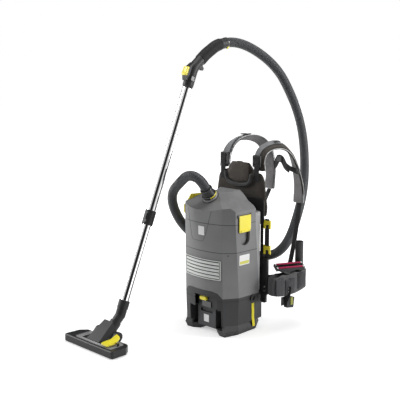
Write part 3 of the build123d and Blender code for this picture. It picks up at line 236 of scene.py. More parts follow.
def fabric(name, color, pitch=0.0016, plane="XZ", depth=0.0004, shade=0.22):
    """Woven cloth: plain weave, uneven yarn tone, soft nap."""
    mat, tree, shader = new_material(name)
    coord = object_coord(tree)
    height = weave(tree, coord, pitch, plane)
    yarn = noise(tree, coord, 900, 2, 0.6)
    broad = noise(tree, coord, 22, 3, 0.6)
    mix = maths(tree, "MULTIPLY_ADD", height, 0.6, broad)
    tree.links.new(toned(tree, mix, 0.35, 1.15, color, shade), shader.inputs["Base Color"])
    shader.inputs["Roughness"].default_value = 0.92
    shader.inputs["Specular IOR Level"].default_value = 0.25
    shader.inputs["Sheen Weight"].default_value = 0.15
    shader.inputs["Sheen Roughness"].default_value = 0.5
    woven = bump(tree, shader, height, 0.7, depth)
    bump(tree, shader, yarn, 0.35, depth, woven)
    return mat


# ---------------------------------------- materials of the record's slots
MATERIALS = {
    # a seam reach paints shade into the colour in narrow seams and gaps
    "base_plastic": plastic("base_plastic", (0.034, 0.034, 0.036), 0.5, shaded_seam_reach=0.012),
    "foot_rubber": plastic("foot_rubber", (0.02, 0.02, 0.021), 0.8, 700, 0.0001, 0.1, 0.2),
    "contact_metal": metal("contact_metal", (0.78, 0.77, 0.74), 0.22, 0.2),
    # the housing's grey gets painted seam shade, and painted shade lines at 0.471 and 0.355 m where the
    # mouldings meet
    "housing_grey": plastic("housing_grey", (0.185, 0.185, 0.188), 0.42, shaded_seam_reach=0.009, lines=(0.471, 0.355)),
    "rear_grey": plastic("rear_grey", (0.33, 0.33, 0.335), 0.45),
    "filter_foam": fabric("filter_foam", (0.03, 0.03, 0.032), 0.002, "XZ", 0.0008),
    "motor_metal": metal("motor_metal", (0.6, 0.6, 0.61), 0.38),
    "filter_cloth": fabric("filter_cloth", (0.78, 0.75, 0.68), 0.0012, "XZ", 0.0003, 0.06),
    "display_gloss": plastic("display_gloss", (0.012, 0.012, 0.014), 0.12, 900, 0.00001, 0.1, 0.6, 0.6),
    "yellow_plastic": plastic("yellow_plastic", (0.86, 0.74, 0.035), 0.34, 1300, 0.00003, 0.03, 0.5, 0.15),
    "black_plastic": plastic("black_plastic", (0.019, 0.019, 0.020), 0.42),
    "pad_fabric": fabric("pad_fabric", (0.042, 0.036, 0.030), 0.003, "XZ", 0.0009, 0.3),
    "grey_webbing": fabric("grey_webbing", (0.22, 0.22, 0.23), 0.0022, "XZ", 0.0006, 0.2),
    "strap_fabric": fabric("strap_fabric", (0.16, 0.165, 0.17), 0.002, "XZ", 0.0006, 0.2),
    "black_webbing": fabric("black_webbing", (0.016, 0.016, 0.017), 0.0024, "XZ", 0.0006, 0.3),
    "pouch_fabric": fabric("pouch_fabric", (0.085, 0.085, 0.088), 0.0018, "YZ", 0.0005, 0.25),
    "hose_plastic": plastic("hose_plastic", (0.06, 0.062, 0.066), 0.4, 900, 0.00005),
    "grille_silver": plastic("grille_silver", (0.62, 0.64, 0.62), 0.3, 2200, 0.00002, 0.03, 0.4, 0.2, 0.009),
    "tube_chrome": metal("tube_chrome", (0.93, 0.93, 0.94), 0.06),
    "brush_bristle": fabric("brush_bristle", (0.03, 0.03, 0.03), 0.0012, "XZ", 0.001),
    "pad_panel": fabric("pad_panel", (0.062, 0.053, 0.045), 0.0028, "XZ", 0.0008, 0.25),
    "handle_fabric": fabric("handle_fabric", (0.055, 0.056, 0.056), 0.0022, "XZ", 0.0006, 0.25),
    "piping": fabric("piping", (0.50, 0.50, 0.50), 0.0014, "YZ", 0.0003, 0.12),
    "strap_mesh": fabric("strap_mesh", (0.20, 0.193, 0.196), 0.0024, "XZ", 0.0007, 0.3),
    "webbing_light": fabric("webbing_light", (0.185, 0.19, 0.195), 0.0018, "XZ", 0.0005, 0.22),
    "pocket_fabric": fabric("pocket_fabric", (0.045, 0.045, 0.048), 0.0018, "YZ", 0.0005, 0.25),
    "webbing_yellow": fabric("webbing_yellow", (0.80, 0.69, 0.04), 0.0024, "YZ", 0.0005, 0.1),
    "grip_rubber": plastic("grip_rubber", (0.011, 0.011, 0.011), 0.62, 900, 0.0001, 0.08, 0.2),
    "battery_grey": plastic("battery_grey", (0.058, 0.058, 0.061), 0.45, shaded_seam_reach=0.012),
    "lint_red": fabric("lint_red", (0.32, 0.012, 0.06), 0.0012, "XZ", 0.0006, 0.3),
    "label_white": plastic("label_white", (0.80, 0.80, 0.80), 0.35, 900, 0.000005, 0.02),
    "label_yellow": plastic("label_yellow", (0.62, 0.60, 0.12), 0.35, 900, 0.000005, 0.03),
    "black_gloss": plastic("black_gloss", (0.012, 0.012, 0.013), 0.22, 1200, 0.00001, 0.05, 0.5, 0.3),
    "olive_plastic": plastic("olive_plastic", (0.3, 0.31, 0.06), 0.4),
}
for row in frame["record"]["subparts"]:
    node = NODES[row["node"]]
    node.data.materials.clear()
    node.data.materials.append(MATERIALS[row["material_slot"]])

NODES["battery_pack"].data.materials[0] = MATERIALS["battery_grey"]
NODES["handle_grip"].data.materials[0] = MATERIALS["grip_rubber"]


# ---------------------------------------- modelling helpers
TINY = 1e-6
HAIR = 1e-9


def side_word(side):
    return "right" if side > 0 else "left"


def deselect():
    bpy.ops.object.select_all(action="DESELECT")


def select_only(piece):
    deselect()
    piece.select_set(True)
    bpy.context.view_layer.objects.active = piece


def apply_place(piece, place=None):
    """Puts the piece's place, turn and scale into its mesh, after moving it if a place is given."""
    if place is not None:
        piece.matrix_world = place
    select_only(piece)
    bpy.ops.object.transform_apply(location=True, rotation=True, scale=True)


def edit(piece):
    """Opens a piece for editing, with nothing in it selected."""
    select_only(piece)
    bpy.ops.object.mode_set(mode="EDIT")
    bpy.ops.mesh.select_all(action="DESELECT")


def done():
    bpy.ops.object.mode_set(mode="OBJECT")


def pick_all():
    bpy.ops.mesh.select_all(action="SELECT")


def pick(piece, kind, test):
    """Selects the faces, edges or vertices for which the test on their centre and normal holds."""
    done()
    mesh = piece.data
    for parts in (mesh.vertices, mesh.edges, mesh.polygons):
        for part in parts:
            part.select = False
    bpy.ops.object.mode_set(mode="EDIT")
    bpy.ops.mesh.select_mode(type=kind)
    done()
    if kind == "FACE":
        for face in mesh.polygons:
            face.select = test(face.center, face.normal)
    elif kind == "VERT":
        for vert in mesh.vertices:
            vert.select = test(vert.co, vert.normal)
    else:
        for line in mesh.edges:
            a, b = (mesh.vertices[i].co for i in line.vertices)
            line.select = test((a + b) / 2, b - a)
    bpy.ops.object.mode_set(mode="EDIT")


def draw_out(move):
    """Extrudes the selected edges by a move."""
    bpy.ops.mesh.extrude_edges_move(TRANSFORM_OT_translate={"value": tuple(move)})


def round_edges(offset, segments):
    bpy.ops.mesh.bevel(offset=offset, segments=segments, affect="EDGES")


def turn_outwards():
    """Turns all faces of the piece being edited outwards."""
    pick_all()
    bpy.ops.mesh.normals_make_consistent(inside=False)


def close_ends():
    """Fills the open ends of the piece being edited, and turns its faces outwards."""
    bpy.ops.mesh.select_mode(type="VERT")
    bpy.ops.mesh.select_all(action="DESELECT")
    bpy.ops.mesh.select_non_manifold()
    bpy.ops.mesh.fill_holes(sides=0)
    turn_outwards()


def modify(piece, kind, **values):
    """Adds a modifier with its settings and applies it."""
    select_only(piece)
    made = piece.modifiers.new(kind.lower(), kind)
    for key, value in values.items():
        setattr(made, key, value)
    bpy.ops.object.modifier_apply(modifier=made.name)


def smooth(piece, degrees):
    select_only(piece)
    bpy.ops.object.shade_smooth_by_angle(angle=math.radians(degrees))


def paint(piece, material):
    piece.data.materials.clear()
    piece.data.materials.append(MATERIALS[material])


def seat(piece, degrees, material, body="machine"):
    """Smooths and paints a finished piece, and lets it ride on its body."""
    smooth(piece, degrees)
    paint(piece, material)
    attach(piece, body)


def block(name, size, middle=(0, 0, 0)):
    """A block at its size and place, open for editing."""
    deselect()
    bpy.ops.mesh.primitive_cube_add(size=1, location=middle)
    piece = bpy.context.object
    piece.name = name
    piece.scale = size
    apply_place(piece)
    edit(piece)
    return piece


def rod(corners, radius, length, middle):
    """A round rod along X, open for editing."""
    deselect()
    bpy.ops.mesh.primitive_cylinder_add(
        vertices=corners, radius=radius, depth=length, location=middle, rotation=(0, math.radians(90), 0),
    )
    piece = bpy.context.object
    apply_place(piece)
    edit(piece)
    return piece


def route_curve(name, points):
    """A smooth curve through the run of a route, held at both ends."""
    data = bpy.data.curves.new(name, "CURVE")
    data.dimensions = "3D"
    data.resolution_u = 24
    spline = data.splines.new("NURBS")
    spline.points.add(len(points) - 1)
    for spot, point in zip(spline.points, points):
        spot.co = (*point, 1)
    spline.order_u = 3
    spline.use_endpoint_u = True
    curve = bpy.data.objects.new(name, data)
    scene.collection.objects.link(curve)
    return curve


def curve_line(curve):
    """The points that the evaluated curve follows, in order."""
    bpy.context.view_layer.update()
    mesh = bpy.data.meshes.new_from_object(curve.evaluated_get(bpy.context.evaluated_depsgraph_get()))
    line = [tuple(v.co) for v in mesh.vertices]
    bpy.data.meshes.remove(mesh)
    return line


def line_length(line):
    return sum((Vector(b) - Vector(a)).length for a, b in zip(line, line[1:]))


# ---------------------------------------- suction hose
HOSE_POINTS = [
    (0.0, -0.1008, 0.6091), (0.0, -0.1203, 0.637), (-0.022, -0.141, 0.660), (-0.066, -0.143, 0.658),
    (-0.124, -0.126, 0.622), (-0.196, -0.108, 0.572), (-0.218, -0.084, 0.500), (-0.212, -0.024, 0.404),
    (-0.205, 0.092, 0.322), (-0.150, 0.190, 0.300), (0.010, 0.222, 0.262), (0.096, 0.300, 0.300),
    (0.040, 0.470, 0.480), (-0.010, 0.556, 0.620), (-0.062, 0.596, 0.800), (-0.100, 0.566, 0.950),
    (-0.136, 0.480, 1.104), (-0.160, 0.262, 1.2103), (-0.161, 0.175, 1.195),
]
HOSE_PITCH = 0.0062
HOSE_GROOVE_RADIUS = 0.0188
# each step along a rib: its share of the pitch, and how much the ring grows
RIB_STEPS = [(0.16, 1.095), (0.12, 1.016), (0.34, 1.0), (0.12, 1 / 1.016), (0.16, 1 / 1.095), (0.10, 1)]


def hose_corrugation():
    """One rib of the hose, a ring stepped out and in again along one pitch."""
    deselect()
    bpy.ops.mesh.primitive_circle_add(
        vertices=28, radius=HOSE_GROOVE_RADIUS, location=(0, 0, 0), rotation=(0, math.radians(90), 0),
    )
    rib = bpy.context.object
    rib.name = "suction_hose_ribbed"
    apply_place(rib)
    edit(rib)
    pick_all()
    for share, grow in RIB_STEPS:
        draw_out((HOSE_PITCH * share, 0, 0))
        bpy.ops.transform.resize(value=(1, grow, grow))
    done()
    return rib


def repeat_along(piece, curve, length, pitch):
    """Repeats a slice that is one pitch long, and lays the row along a curve."""
    count = round(length / pitch)
    modify(
        piece, "ARRAY", count=count, use_relative_offset=False, use_constant_offset=True,
        constant_offset_displace=(pitch, 0, 0), use_merge_vertices=True, merge_threshold=0.00002,
    )
    stretch = length / (count * pitch)
    piece.scale = (stretch, 1, 1)
    apply_place(piece)
    modify(piece, "CURVE", object=curve, deform_axis="POS_X")


hose_curve = route_curve("hose_route", HOSE_POINTS)
hose_line = curve_line(hose_curve)
hose_length = line_length(hose_line)
hose = hose_corrugation()
repeat_along(hose, hose_curve, hose_length, HOSE_PITCH)
edit(hose)
pick_all()
bpy.ops.mesh.remove_doubles(threshold=0.00001)
turn_outwards()
done()
smooth(hose, 60)
paint(hose, "hose_plastic")
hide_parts("suction_hose")
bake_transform(hose)
bpy.data.objects.remove(hose_curve)


# ---------------------------------------- soft goods of the harness
# where a flat route's X and Y come to lie, with the width along the third axis
ACROSS = Matrix(((0, 0, 1, 0), (1, 0, 0, 0), (0, 1, 0, 0), (0, 0, 0, 1)))      # in Y and Z
FLAT = Matrix.Identity(4)                                                      # in X and Y
UPRIGHT = Matrix(((1, 0, 0, 0), (0, 0, -1, 0), (0, 1, 0, 0), (0, 0, 0, 1)))    # in X and Z
SIDEWAYS = Matrix(((0, 1, 0, 0), (1, 0, 0, 0), (0, 0, 1, 0), (0, 0, 0, 1)))    # X and Y changed over
CLOTH_FRAMES = 20


def stops_along(route, spacing, offset, part=(0.0, 1.0)):
    """Evenly spaced stops along part of a smooth flat route: place, heading and share of the way."""
    curve = route_curve("strap_route", [(*p, 0) for p in route])
    line = [Vector(p) for p in curve_line(curve)]
    bpy.data.objects.remove(curve)
    total = line_length(line)
    count = max(3, round(total * (part[1] - part[0]) / spacing))
    stops = []
    walked = 0.0
    k = 0
    for n in range(count + 1):
        share = part[0] + (part[1] - part[0]) * n / count
        goal = total * share
        while k < len(line) - 2 and walked + (line[k + 1] - line[k]).length < goal - HAIR:
            walked += (line[k + 1] - line[k]).length
            k += 1
        step = line[k + 1] - line[k]
        place = line[k] + step * min(1.0, (goal - walked) / max(step.length, HAIR))
        ahead = line[min(k + 2, len(line) - 1)] - line[max(k - 1, 0)]
        heading = math.atan2(ahead.y, ahead.x)
        if stops:
            last = stops[-1][1]
            heading = last + math.remainder(heading - last, 2 * math.pi)
        side = Vector((-math.sin(heading), math.cos(heading), 0))
        stops.append((place + side * offset, heading, share))
    return stops


def squared_ring(name, corners, wide, thick, square, grow=1.0):
    """The section of a strap or pad: a ring of corners drawn out towards a rectangle."""
    deselect()
    bpy.ops.mesh.primitive_circle_add(vertices=corners, radius=1, location=(0, 0, 0))
    ring = bpy.context.object
    ring.name = name
    for vert in ring.data.vertices:
        x, y = vert.co.x, vert.co.y
        vert.co.x = math.copysign(abs(x) ** square, x) * wide / 2 * grow if abs(x) > TINY else 0.0
        vert.co.y = math.copysign(abs(y) ** square, y) * thick / 2 * grow if abs(y) > TINY else 0.0
    return ring


def band(
    name, route, wide, thick, turn, mid=0.0, corners=12, square=0.5, offset=0.0, spacing=0.014, ends=0.6,
    part=(0.0, 1.0), roll=None,
):
    """A closed strap or pad: a ring of corners extruded and turned from stop to stop along a flat route.

    With roll, a middle and an angle for each share of the way, the rings lean about the route's line."""
    stops = stops_along(route, spacing, offset, part)
    place, heading, share = stops[0]
    piece = squared_ring(name, corners, wide, thick, square, ends)
    side = Vector((-math.sin(heading), math.cos(heading), 0))
    apply_place(piece, Matrix((
        (0, side.x, math.cos(heading), place.x), (0, side.y, math.sin(heading), place.y), (1, 0, 0, mid),
        (0, 0, 0, 1),
    )))
    last = stops[-1]
    rows = [(place + (stops[1][0] - place) * 0.25, heading, share, 1.0)]
    rows += [(*stop, 1.0) for stop in stops[1:-1]]
    rows.append((last[0] + (stops[-2][0] - last[0]) * 0.25, last[1], last[2], 1.0))
    rows.append((*last, ends))
    bpy.ops.object.mode_set(mode="EDIT")
    bpy.ops.mesh.select_mode(type="VERT")
    pick_all()
    now, bearing_now, grown = place, heading, ends
    for spot, bearing, _, size in rows:
        draw_out(spot - now)
        middle = (spot.x, spot.y, mid)
        if abs(bearing - bearing_now) > TINY:
            bpy.ops.transform.rotate(value=-(bearing - bearing_now), orient_axis="Z", center_override=middle)
        if abs(size / grown - 1) > TINY:
            bpy.ops.transform.resize(value=(size / grown,) * 3, center_override=middle)
        now, bearing_now, grown = spot, bearing, size
    if roll is not None:
        done()
        axis_mid, lean = roll
        verts = piece.data.vertices
        for n, (spot, bearing, way, _) in enumerate([(place, heading, share, ends)] + rows):
            ahead = Vector((math.cos(bearing), math.sin(bearing), 0))
            out = Vector((-ahead.y, ahead.x, 0))
            centre = spot - out * offset
            centre.z = axis_mid
            angle, drift = lean(way)
            tilt = Matrix.Rotation(angle, 3, ahead)
            for vert in verts[n * corners:(n + 1) * corners]:
                vert.co = centre + tilt @ (vert.co - centre) + Vector((0, 0, drift))
        bpy.ops.object.mode_set(mode="EDIT")
    close_ends()
    done()
    apply_place(piece, turn)
    return piece


def plump(piece, voxel=0.005, cap=0.007, pressure=4.0):
    """Fills a padded piece out like stuffed cloth. No point moves further than the cap."""
    modify(piece, "REMESH", mode="VOXEL", voxel_size=voxel)
    rest = [vert.co.copy() for vert in piece.data.vertices]
    cloth = piece.modifiers.new("cloth", "CLOTH")
    cloth.settings.use_pressure = True
    cloth.settings.uniform_pressure_force = pressure
    cloth.settings.effector_weights.gravity = 0
    cloth.point_cache.frame_start = 1
    cloth.point_cache.frame_end = CLOTH_FRAMES
    for frame_number in range(1, CLOTH_FRAMES + 1):
        scene.frame_set(frame_number)
    select_only(piece)
    bpy.ops.object.modifier_apply(modifier=cloth.name)
    scene.frame_set(1)
    for vert, old in zip(piece.data.vertices, rest):
        move = vert.co - old
        if move.length > cap:
            vert.co = old + move * (cap / move.length)
    modify(piece, "SUBSURF", levels=1, render_levels=1)


def panel(name, outline, y, thick, round_edge=0.008):
    """An upright panel cut to an outline in X and Z, with rounded edges."""
    deselect()
    bpy.ops.mesh.primitive_circle_add(vertices=len(outline), radius=1, location=(0, 0, 0))
    piece = bpy.context.object
    piece.name = name
    for vert, (x, z) in zip(piece.data.vertices, outline):
        vert.co = (x, y, z)
    edit(piece)
    pick_all()
    bpy.ops.mesh.edge_face_add()
    bpy.ops.mesh.extrude_region_move(TRANSFORM_OT_translate={"value": (0, thick, 0)})
    turn_outwards()
    round_edges(round_edge, 3)
    done()
    return piece


def lay_sideways(piece):
    """Changes a panel's X and Y over, and turns its faces outwards again."""
    apply_place(piece, SIDEWAYS)
    edit(piece)
    turn_outwards()
    done()


def webbing_band(name, route, wide, thick, turn, mid, spacing=0.014):
    """A band of black webbing with square edges, riding on the machine."""
    piece = band(name, route, wide, thick, turn, mid=mid, square=0.3, spacing=spacing, ends=0.95)
    seat(piece, 50, "black_webbing")
    return piece


def mirrored(points):
    """An outline's right half with its mirror image on the left."""
    return points + [(-x, z) for x, z in reversed(points)]


# back pad
PAD_OUTLINE = mirrored([
    (0.044, 0.704), (0.074, 0.671), (0.119, 0.658), (0.133, 0.636), (0.145, 0.562), (0.152, 0.520),
    (0.147, 0.479),
])
pad = panel("back_pad_stuffed", PAD_OUTLINE, 0.1058, 0.0155, 0.006)
plump(pad, 0.0055, 0.0042)
seat(pad, 60, "pad_fabric")
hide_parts("back_pad")

# panel sewn on the front of the pad, behind the carry handle
FRONT_PANEL = [
    (-0.073, 0.648), (-0.064, 0.676), (-0.042, 0.7015), (0.006, 0.706), (0.038, 0.701), (0.056, 0.688),
    (0.060, 0.655), (0.054, 0.622), (-0.010, 0.610), (-0.064, 0.620),
]
front_panel = panel("back_pad_front_panel", FRONT_PANEL, 0.0962, 0.0070, 0.0030)
plump(front_panel, 0.004, 0.0035)
seat(front_panel, 60, "pad_panel")

# carry handle, a padded loop that hangs from the buckles
handle_loop = band(
    "carry_handle_padded",
    [(-0.0740, 0.656), (-0.0725, 0.634), (-0.062, 0.614), (-0.020, 0.604), (0.024, 0.604), (0.062, 0.614),
     (0.0725, 0.634), (0.0740, 0.656)],
    0.0125, 0.0150, UPRIGHT, mid=-0.0922, corners=12, square=0.8, spacing=0.011,
)
modify(handle_loop, "SUBSURF", levels=1, render_levels=1)
seat(handle_loop, 60, "handle_fabric")
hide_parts("carry_handle")

# shoulder straps: stuffed pad, lining, webbing on top, and piping along both edges
LEFT_ROUTE = [
    (0.1178, 0.668), (0.1175, 0.700), (0.1205, 0.730), (0.132, 0.758), (0.155, 0.778), (0.190, 0.788),
    (0.235, 0.7915), (0.285, 0.787), (0.335, 0.768), (0.374, 0.730), (0.397, 0.672), (0.406, 0.604),
    (0.394, 0.545),
]
RIGHT_ROUTE = [
    (0.1178, 0.668), (0.1172, 0.695), (0.1195, 0.716), (0.132, 0.737), (0.155, 0.754), (0.198, 0.7665),
    (0.245, 0.7685), (0.292, 0.756), (0.333, 0.724), (0.362, 0.676), (0.383, 0.615), (0.394, 0.558),
    (0.390, 0.501),
]
# width and thickness of each layer of a shoulder strap
STRAP_SIZE = (0.0520, 0.0100)
PIPING_SIZE = (0.0034, 0.0034)
LINING_SIZE = (0.0470, 0.0016)
TOP_WEBBING_SIZE = (0.025, 0.0024)
END_PANEL_SIZE = (0.0555, 0.0150)
PIPING_OUT = 0.0272      # from the strap's middle to its piping
LINING_DOWN = 0.0072     # from the strap's middle to its lining
WEBBING_UP = 0.0086      # from the strap's middle to the webbing on it
WEBBING_IN = 0.011       # how far the webbing lies towards the neck


def shoulder_lean(sign, most):
    """The strap leans outwards over the shoulder, most at its top, and spreads at the back pad."""
    def lean(share):
        angle = sign * math.radians(most) * math.sin(math.pi * min(1, max(0, share * 1.15 - 0.05))) ** 1.2
        drift = sign * 0.016 * max(0, 1 - share / 0.22) ** 1.5
        return angle, drift
    return lean


for side, mid, route, sign, most, cover in (
    ("left", -0.0875, LEFT_ROUTE, -1, 24, "strap_fabric"),
    ("right", 0.088, RIGHT_ROUTE, 1, 34, "pad_fabric"),
):
    lean = (mid, shoulder_lean(sign, most))
    strap = band(
        "shoulder_strap_" + side + "_stuffed", route, *STRAP_SIZE, ACROSS, mid=mid, corners=16, square=0.45,
        spacing=0.012, roll=lean,
    )
    plump(strap, 0.004, 0.0028)
    seat(strap, 60, cover)
    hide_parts("shoulder_strap_" + side)
    for edge, word in ((-1, "_inner"), (1, "_outer")):
        piping = band(
            "piping_" + side + word, route, *PIPING_SIZE, ACROSS, mid=mid + edge * PIPING_OUT, corners=8,
            square=1.0, spacing=0.016, roll=lean,
        )
        seat(piping, 60, "piping")
    lining = band(
        "strap_lining_" + side, route, *LINING_SIZE, ACROSS, mid=mid, square=0.35, offset=-LINING_DOWN,
        spacing=0.016, ends=0.9, part=(0.12, 1.0), roll=lean,
    )
    seat(lining, 50, "strap_mesh")
    webbing = band(
        "strap_webbing_" + side, route, *TOP_WEBBING_SIZE, ACROSS, mid=mid - sign * WEBBING_IN, square=0.3,
        offset=WEBBING_UP, spacing=0.012, ends=0.9, part=(0.115, 0.40), roll=lean,
    )
    seat(webbing, 50, "webbing_light")
    end_panel = band(
        "strap_end_" + side, route, *END_PANEL_SIZE, ACROSS, mid=mid, corners=16, square=0.4, spacing=0.012,
        ends=0.92, part=(0.925, 1.0), roll=lean,
    )
    seat(end_panel, 50, "webbing_light")


def ladder_adjuster(name, place):
    """A moulded buckle with a round bar across it, lying on the webbing."""
    buckle = block(name, (0.038, 0.026, 0.0042))
    pick(buckle, "FACE", lambda c, n: abs(n.z) > 0.9)
    bpy.ops.mesh.inset(thickness=0.0045)
    bpy.ops.mesh.bridge_edge_loops()
    done()
    edit(buckle)
    turn_outwards()
    round_edges(0.0008, 2)
    done()
    bar = rod(12, 0.0021, 0.034, (0, 0, 0.0006))
    pick_all()
    round_edges(0.0004, 1)
    done()
    select_only(buckle)
    bar.select_set(True)
    bpy.ops.object.join()
    buckle.location = place
    apply_place(buckle)
    seat(buckle, 35, "black_plastic")


ladder_adjuster("strap_adjuster_left", (-0.0795, 0.222, 0.8045))
ladder_adjuster("strap_adjuster_right", (0.080, 0.235, 0.7815))

# bands of webbing: beside the housing, and short ones up to the ladder buckles
for side in (1, -1):
    beside = webbing_band(
        "side_band_" + side_word(side),
        [(0.106, 0.306), (0.1062, 0.34), (0.1058, 0.39), (0.1062, 0.44), (0.106, 0.4747)],
        0.024, 0.003, ACROSS, side * 0.154,
    )
    if side > 0:
        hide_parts("harness_webbing")
    webbing_band(
        "buckle_band_" + side_word(side),
        [(0.1010, 0.6225), (0.1008, 0.65), (0.1010, 0.69), (0.1010, 0.7295)],
        0.028, 0.0024, ACROSS, side * 0.096,
    )


def slanting_band(name, route, wide, thick):
    """A band of webbing hanging with a little slack: a flat ring extruded from stop to stop."""
    piece = squared_ring(name, 12, wide, thick, 0.3)
    piece.location = route[0]
    apply_place(piece)
    edit(piece)
    pick_all()
    for a, b in zip(route, route[1:]):
        draw_out(Vector(b) - Vector(a))
    close_ends()
    done()
    return piece


SLACK_STEPS = 12
for side, top in ((-1, (-0.090, 0.399, 0.5431)), (1, (0.090, 0.394, 0.4989))):
    low = Vector((side * 0.152, 0.255, 0.2405))
    high = Vector(top)
    stops = []
    for n in range(SLACK_STEPS + 1):
        share = n / SLACK_STEPS
        slack = math.sin(math.pi * share)
        stops.append(tuple(low.lerp(high, share) + Vector((0, 0.006 * slack, -0.004 * slack))))
    seat(slanting_band("adjusting_band_" + side_word(side), stops, 0.024, 0.003), 50, "black_webbing")

# chest strap between the shoulder straps, laid on its flat side, and its keeper
# this turn mirrors the strap as well, which leaves its faces pointing inwards
CHEST_TURN = Matrix((
    (0.9534, 0, 0.3019, -0.060), (-0.3019, 0, 0.9534, 0.396), (0, 1, 0, 0.655), (0, 0, 0, 1),
))
chest = webbing_band(
    "chest_strap_webbing",
    [(-0.024, -0.012), (-0.010, -0.008), (0.004, 0.002), (0.018, 0.018), (0.026, 0.032), (0.044, 0.0345),
     (0.062, 0.032), (0.078, 0.016), (0.088, 0.005), (0.104, -0.001), (0.1225, -0.006)],
    0.0030, 0.034, CHEST_TURN, 0.0015, 0.008,
)
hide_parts("chest_strap")
webbing_band(
    "chest_strap_keeper", [(0.054, 0.660), (0.075, 0.656), (0.098, 0.650), (0.121, 0.645)],
    0.0028, 0.022, UPRIGHT, -0.3440, 0.012,
)


def strap_box(name, centre, size, turn):
    """A small moulded buckle body with rounded edges and a waist."""
    box = block(name, size)
    pick(box, "EDGE", lambda c, d: abs(d.x) > size[0] * 0.9)
    bpy.ops.mesh.subdivide(number_cuts=2)
    pick(box, "VERT", lambda c, n: abs(c.x) < size[0] * 0.3)
    bpy.ops.transform.resize(value=(1, 1, 0.82), center_override=(0, 0, 0))
    pick_all()
    round_edges(min(size) * 0.2, 2)
    done()
    apply_place(box, Matrix.Translation(centre) @ Matrix.Rotation(turn, 4, "Z"))
    seat(box, 35, "black_plastic")


strap_box("chest_buckle", (-0.018, 0.3815, 0.688), (0.040, 0.009, 0.031), -0.30)
strap_box("chest_ring", (0.119, 0.3420, 0.6475), (0.014, 0.009, 0.028), -0.10)

# hip pads, stuffed
WING_ROUTE = [(0.150, 0.1126), (0.163, 0.133), (0.1675, 0.180), (0.1665, 0.260), (0.158, 0.345)]
for side in (1, -1):
    word = side_word(side)
    wing = band(
        "hip_pad_" + word, [(side * x, y) for x, y in WING_ROUTE], 0.086, 0.0085, FLAT, mid=0.195, corners=16,
        square=0.4, spacing=0.014,
    )
    plump(wing, 0.0045, 0.0022)
    seat(wing, 60, "pad_fabric")
    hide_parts("hip_belt_" + word)


# ---------------------------------------- accessory pouch
POUCH_SIZE = (0.0385, 0.216, 0.096)
POUCH_MIDDLE = (0.1938, 0.196, 0.189)
POUCH_FOOT = 0.141
POUCH_OUTER_WALL = 0.200    # from here outwards the cloth bellies out


def bag_body():
    """The pouch: an open box of cloth, rounded at its corners, whose belly and bottom sag."""
    bag = block("accessory_pouch_sewn", POUCH_SIZE, POUCH_MIDDLE)
    pick(bag, "EDGE", lambda c, d: abs(d.z) > 0.05)
    round_edges(0.010, 3)
    pick(bag, "FACE", lambda c, n: n.z > 0.9)
    bpy.ops.mesh.delete(type="FACE")
    pick(bag, "EDGE", lambda c, d: abs(d.z) > 0.05)
    bpy.ops.mesh.subdivide(number_cuts=7)
    pick(bag, "EDGE", lambda c, d: abs(d.y) > 0.15)
    bpy.ops.mesh.subdivide(number_cuts=15)
    done()
    for vert in bag.data.vertices:
        along = (vert.co.y - POUCH_MIDDLE[1]) / (POUCH_SIZE[1] / 2)
        high = (vert.co.z - POUCH_FOOT) / POUCH_SIZE[2]
        belly = math.sin(math.pi * min(1, high))
        outer = 1 if vert.co.x > POUCH_OUTER_WALL else 0
        vert.co.z += 0.016 * abs(along) ** 2.5 * (1 - high) + 0.004 * math.sin(9 * along) * high
        vert.co.x += outer * 0.0035 * belly * math.cos(3.1 * along)
        vert.co.y += 0.003 * belly * along
    modify(bag, "SOLIDIFY", thickness=0.0018, offset=-1)
    modify(bag, "SUBSURF", levels=1, render_levels=1)
    return bag


bag = bag_body()
seat(bag, 60, "pouch_fabric")
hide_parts("accessory_pouch")

# each pocket's outline in Y and Z, and the X at which it lies
POCKETS = [
    ("front", [(0.094, 0.156), (0.144, 0.148), (0.150, 0.222), (0.146, 0.230), (0.092, 0.228)], 0.2130),
    ("middle", [(0.156, 0.150), (0.216, 0.152), (0.220, 0.214), (0.188, 0.222), (0.154, 0.216)], 0.2135),
    ("holder", [(0.236, 0.158), (0.292, 0.166), (0.296, 0.228), (0.264, 0.238), (0.234, 0.230)], 0.2110),
]
for word, outline, x in POCKETS:
    pocket = panel("pouch_pocket_" + word, outline, x, 0.0055, 0.0022)
    lay_sideways(pocket)
    plump(pocket, 0.004, 0.004)
    seat(pocket, 60, "pocket_fabric")

# webbing that carries the control unit below the pouch, with its two press studs
webbing_band(
    "control_carrier", [(0.2185, 0.186), (0.2180, 0.160), (0.2135, 0.146), (0.2060, 0.136), (0.2035, 0.120)],
    0.0024, 0.026, UPRIGHT, -0.176, 0.006,
)
for z in (0.176, 0.164):
    stud = rod(24, 0.0042, 0.0016, (0.2200, 0.176, z))
    stud.name = "press_stud"
    pick(stud, "FACE", lambda c, n: n.x > 0.9)
    bpy.ops.mesh.inset(thickness=0.0012)
    bpy.ops.transform.translate(value=(0.0006, 0, 0))
    done()
    seat(stud, 40, "grille_silver")

# ---------------------------------------- lint strips on the upholstery nozzle
MOUTH_PLACE = Matrix((
    (0.42, -0.8179, 0.393, 0.205), (0.9075, 0.3785, -0.182, 0.190), (0, 0.4331, 0.901, 0.262), (0, 0, 0, 1),
))


def mouth_bar(name, x, y, length, height, material):
    """A bar lying on a lip of the upholstery nozzle's mouth, its edges rounded."""
    bar = block(name, (length, 0.0092, height))
    pick_all()
    round_edges(height * 0.3, 2)
    done()
    apply_place(bar, MOUTH_PLACE @ Matrix.Translation((x, y, 0.012 + height / 2)))
    seat(bar, 40, material, "upholstery")


for number, y in (("1", -0.0122), ("2", 0.0122)):
    mouth_bar("lint_strip_" + number, 0, y, 0.112, 0.0026, "lint_red")
    for letter, x in (("a", -0.0595), ("b", 0.0595)):
        mouth_bar("lint_strip_end_" + number + letter, x, y, 0.005, 0.0028, "label_white")


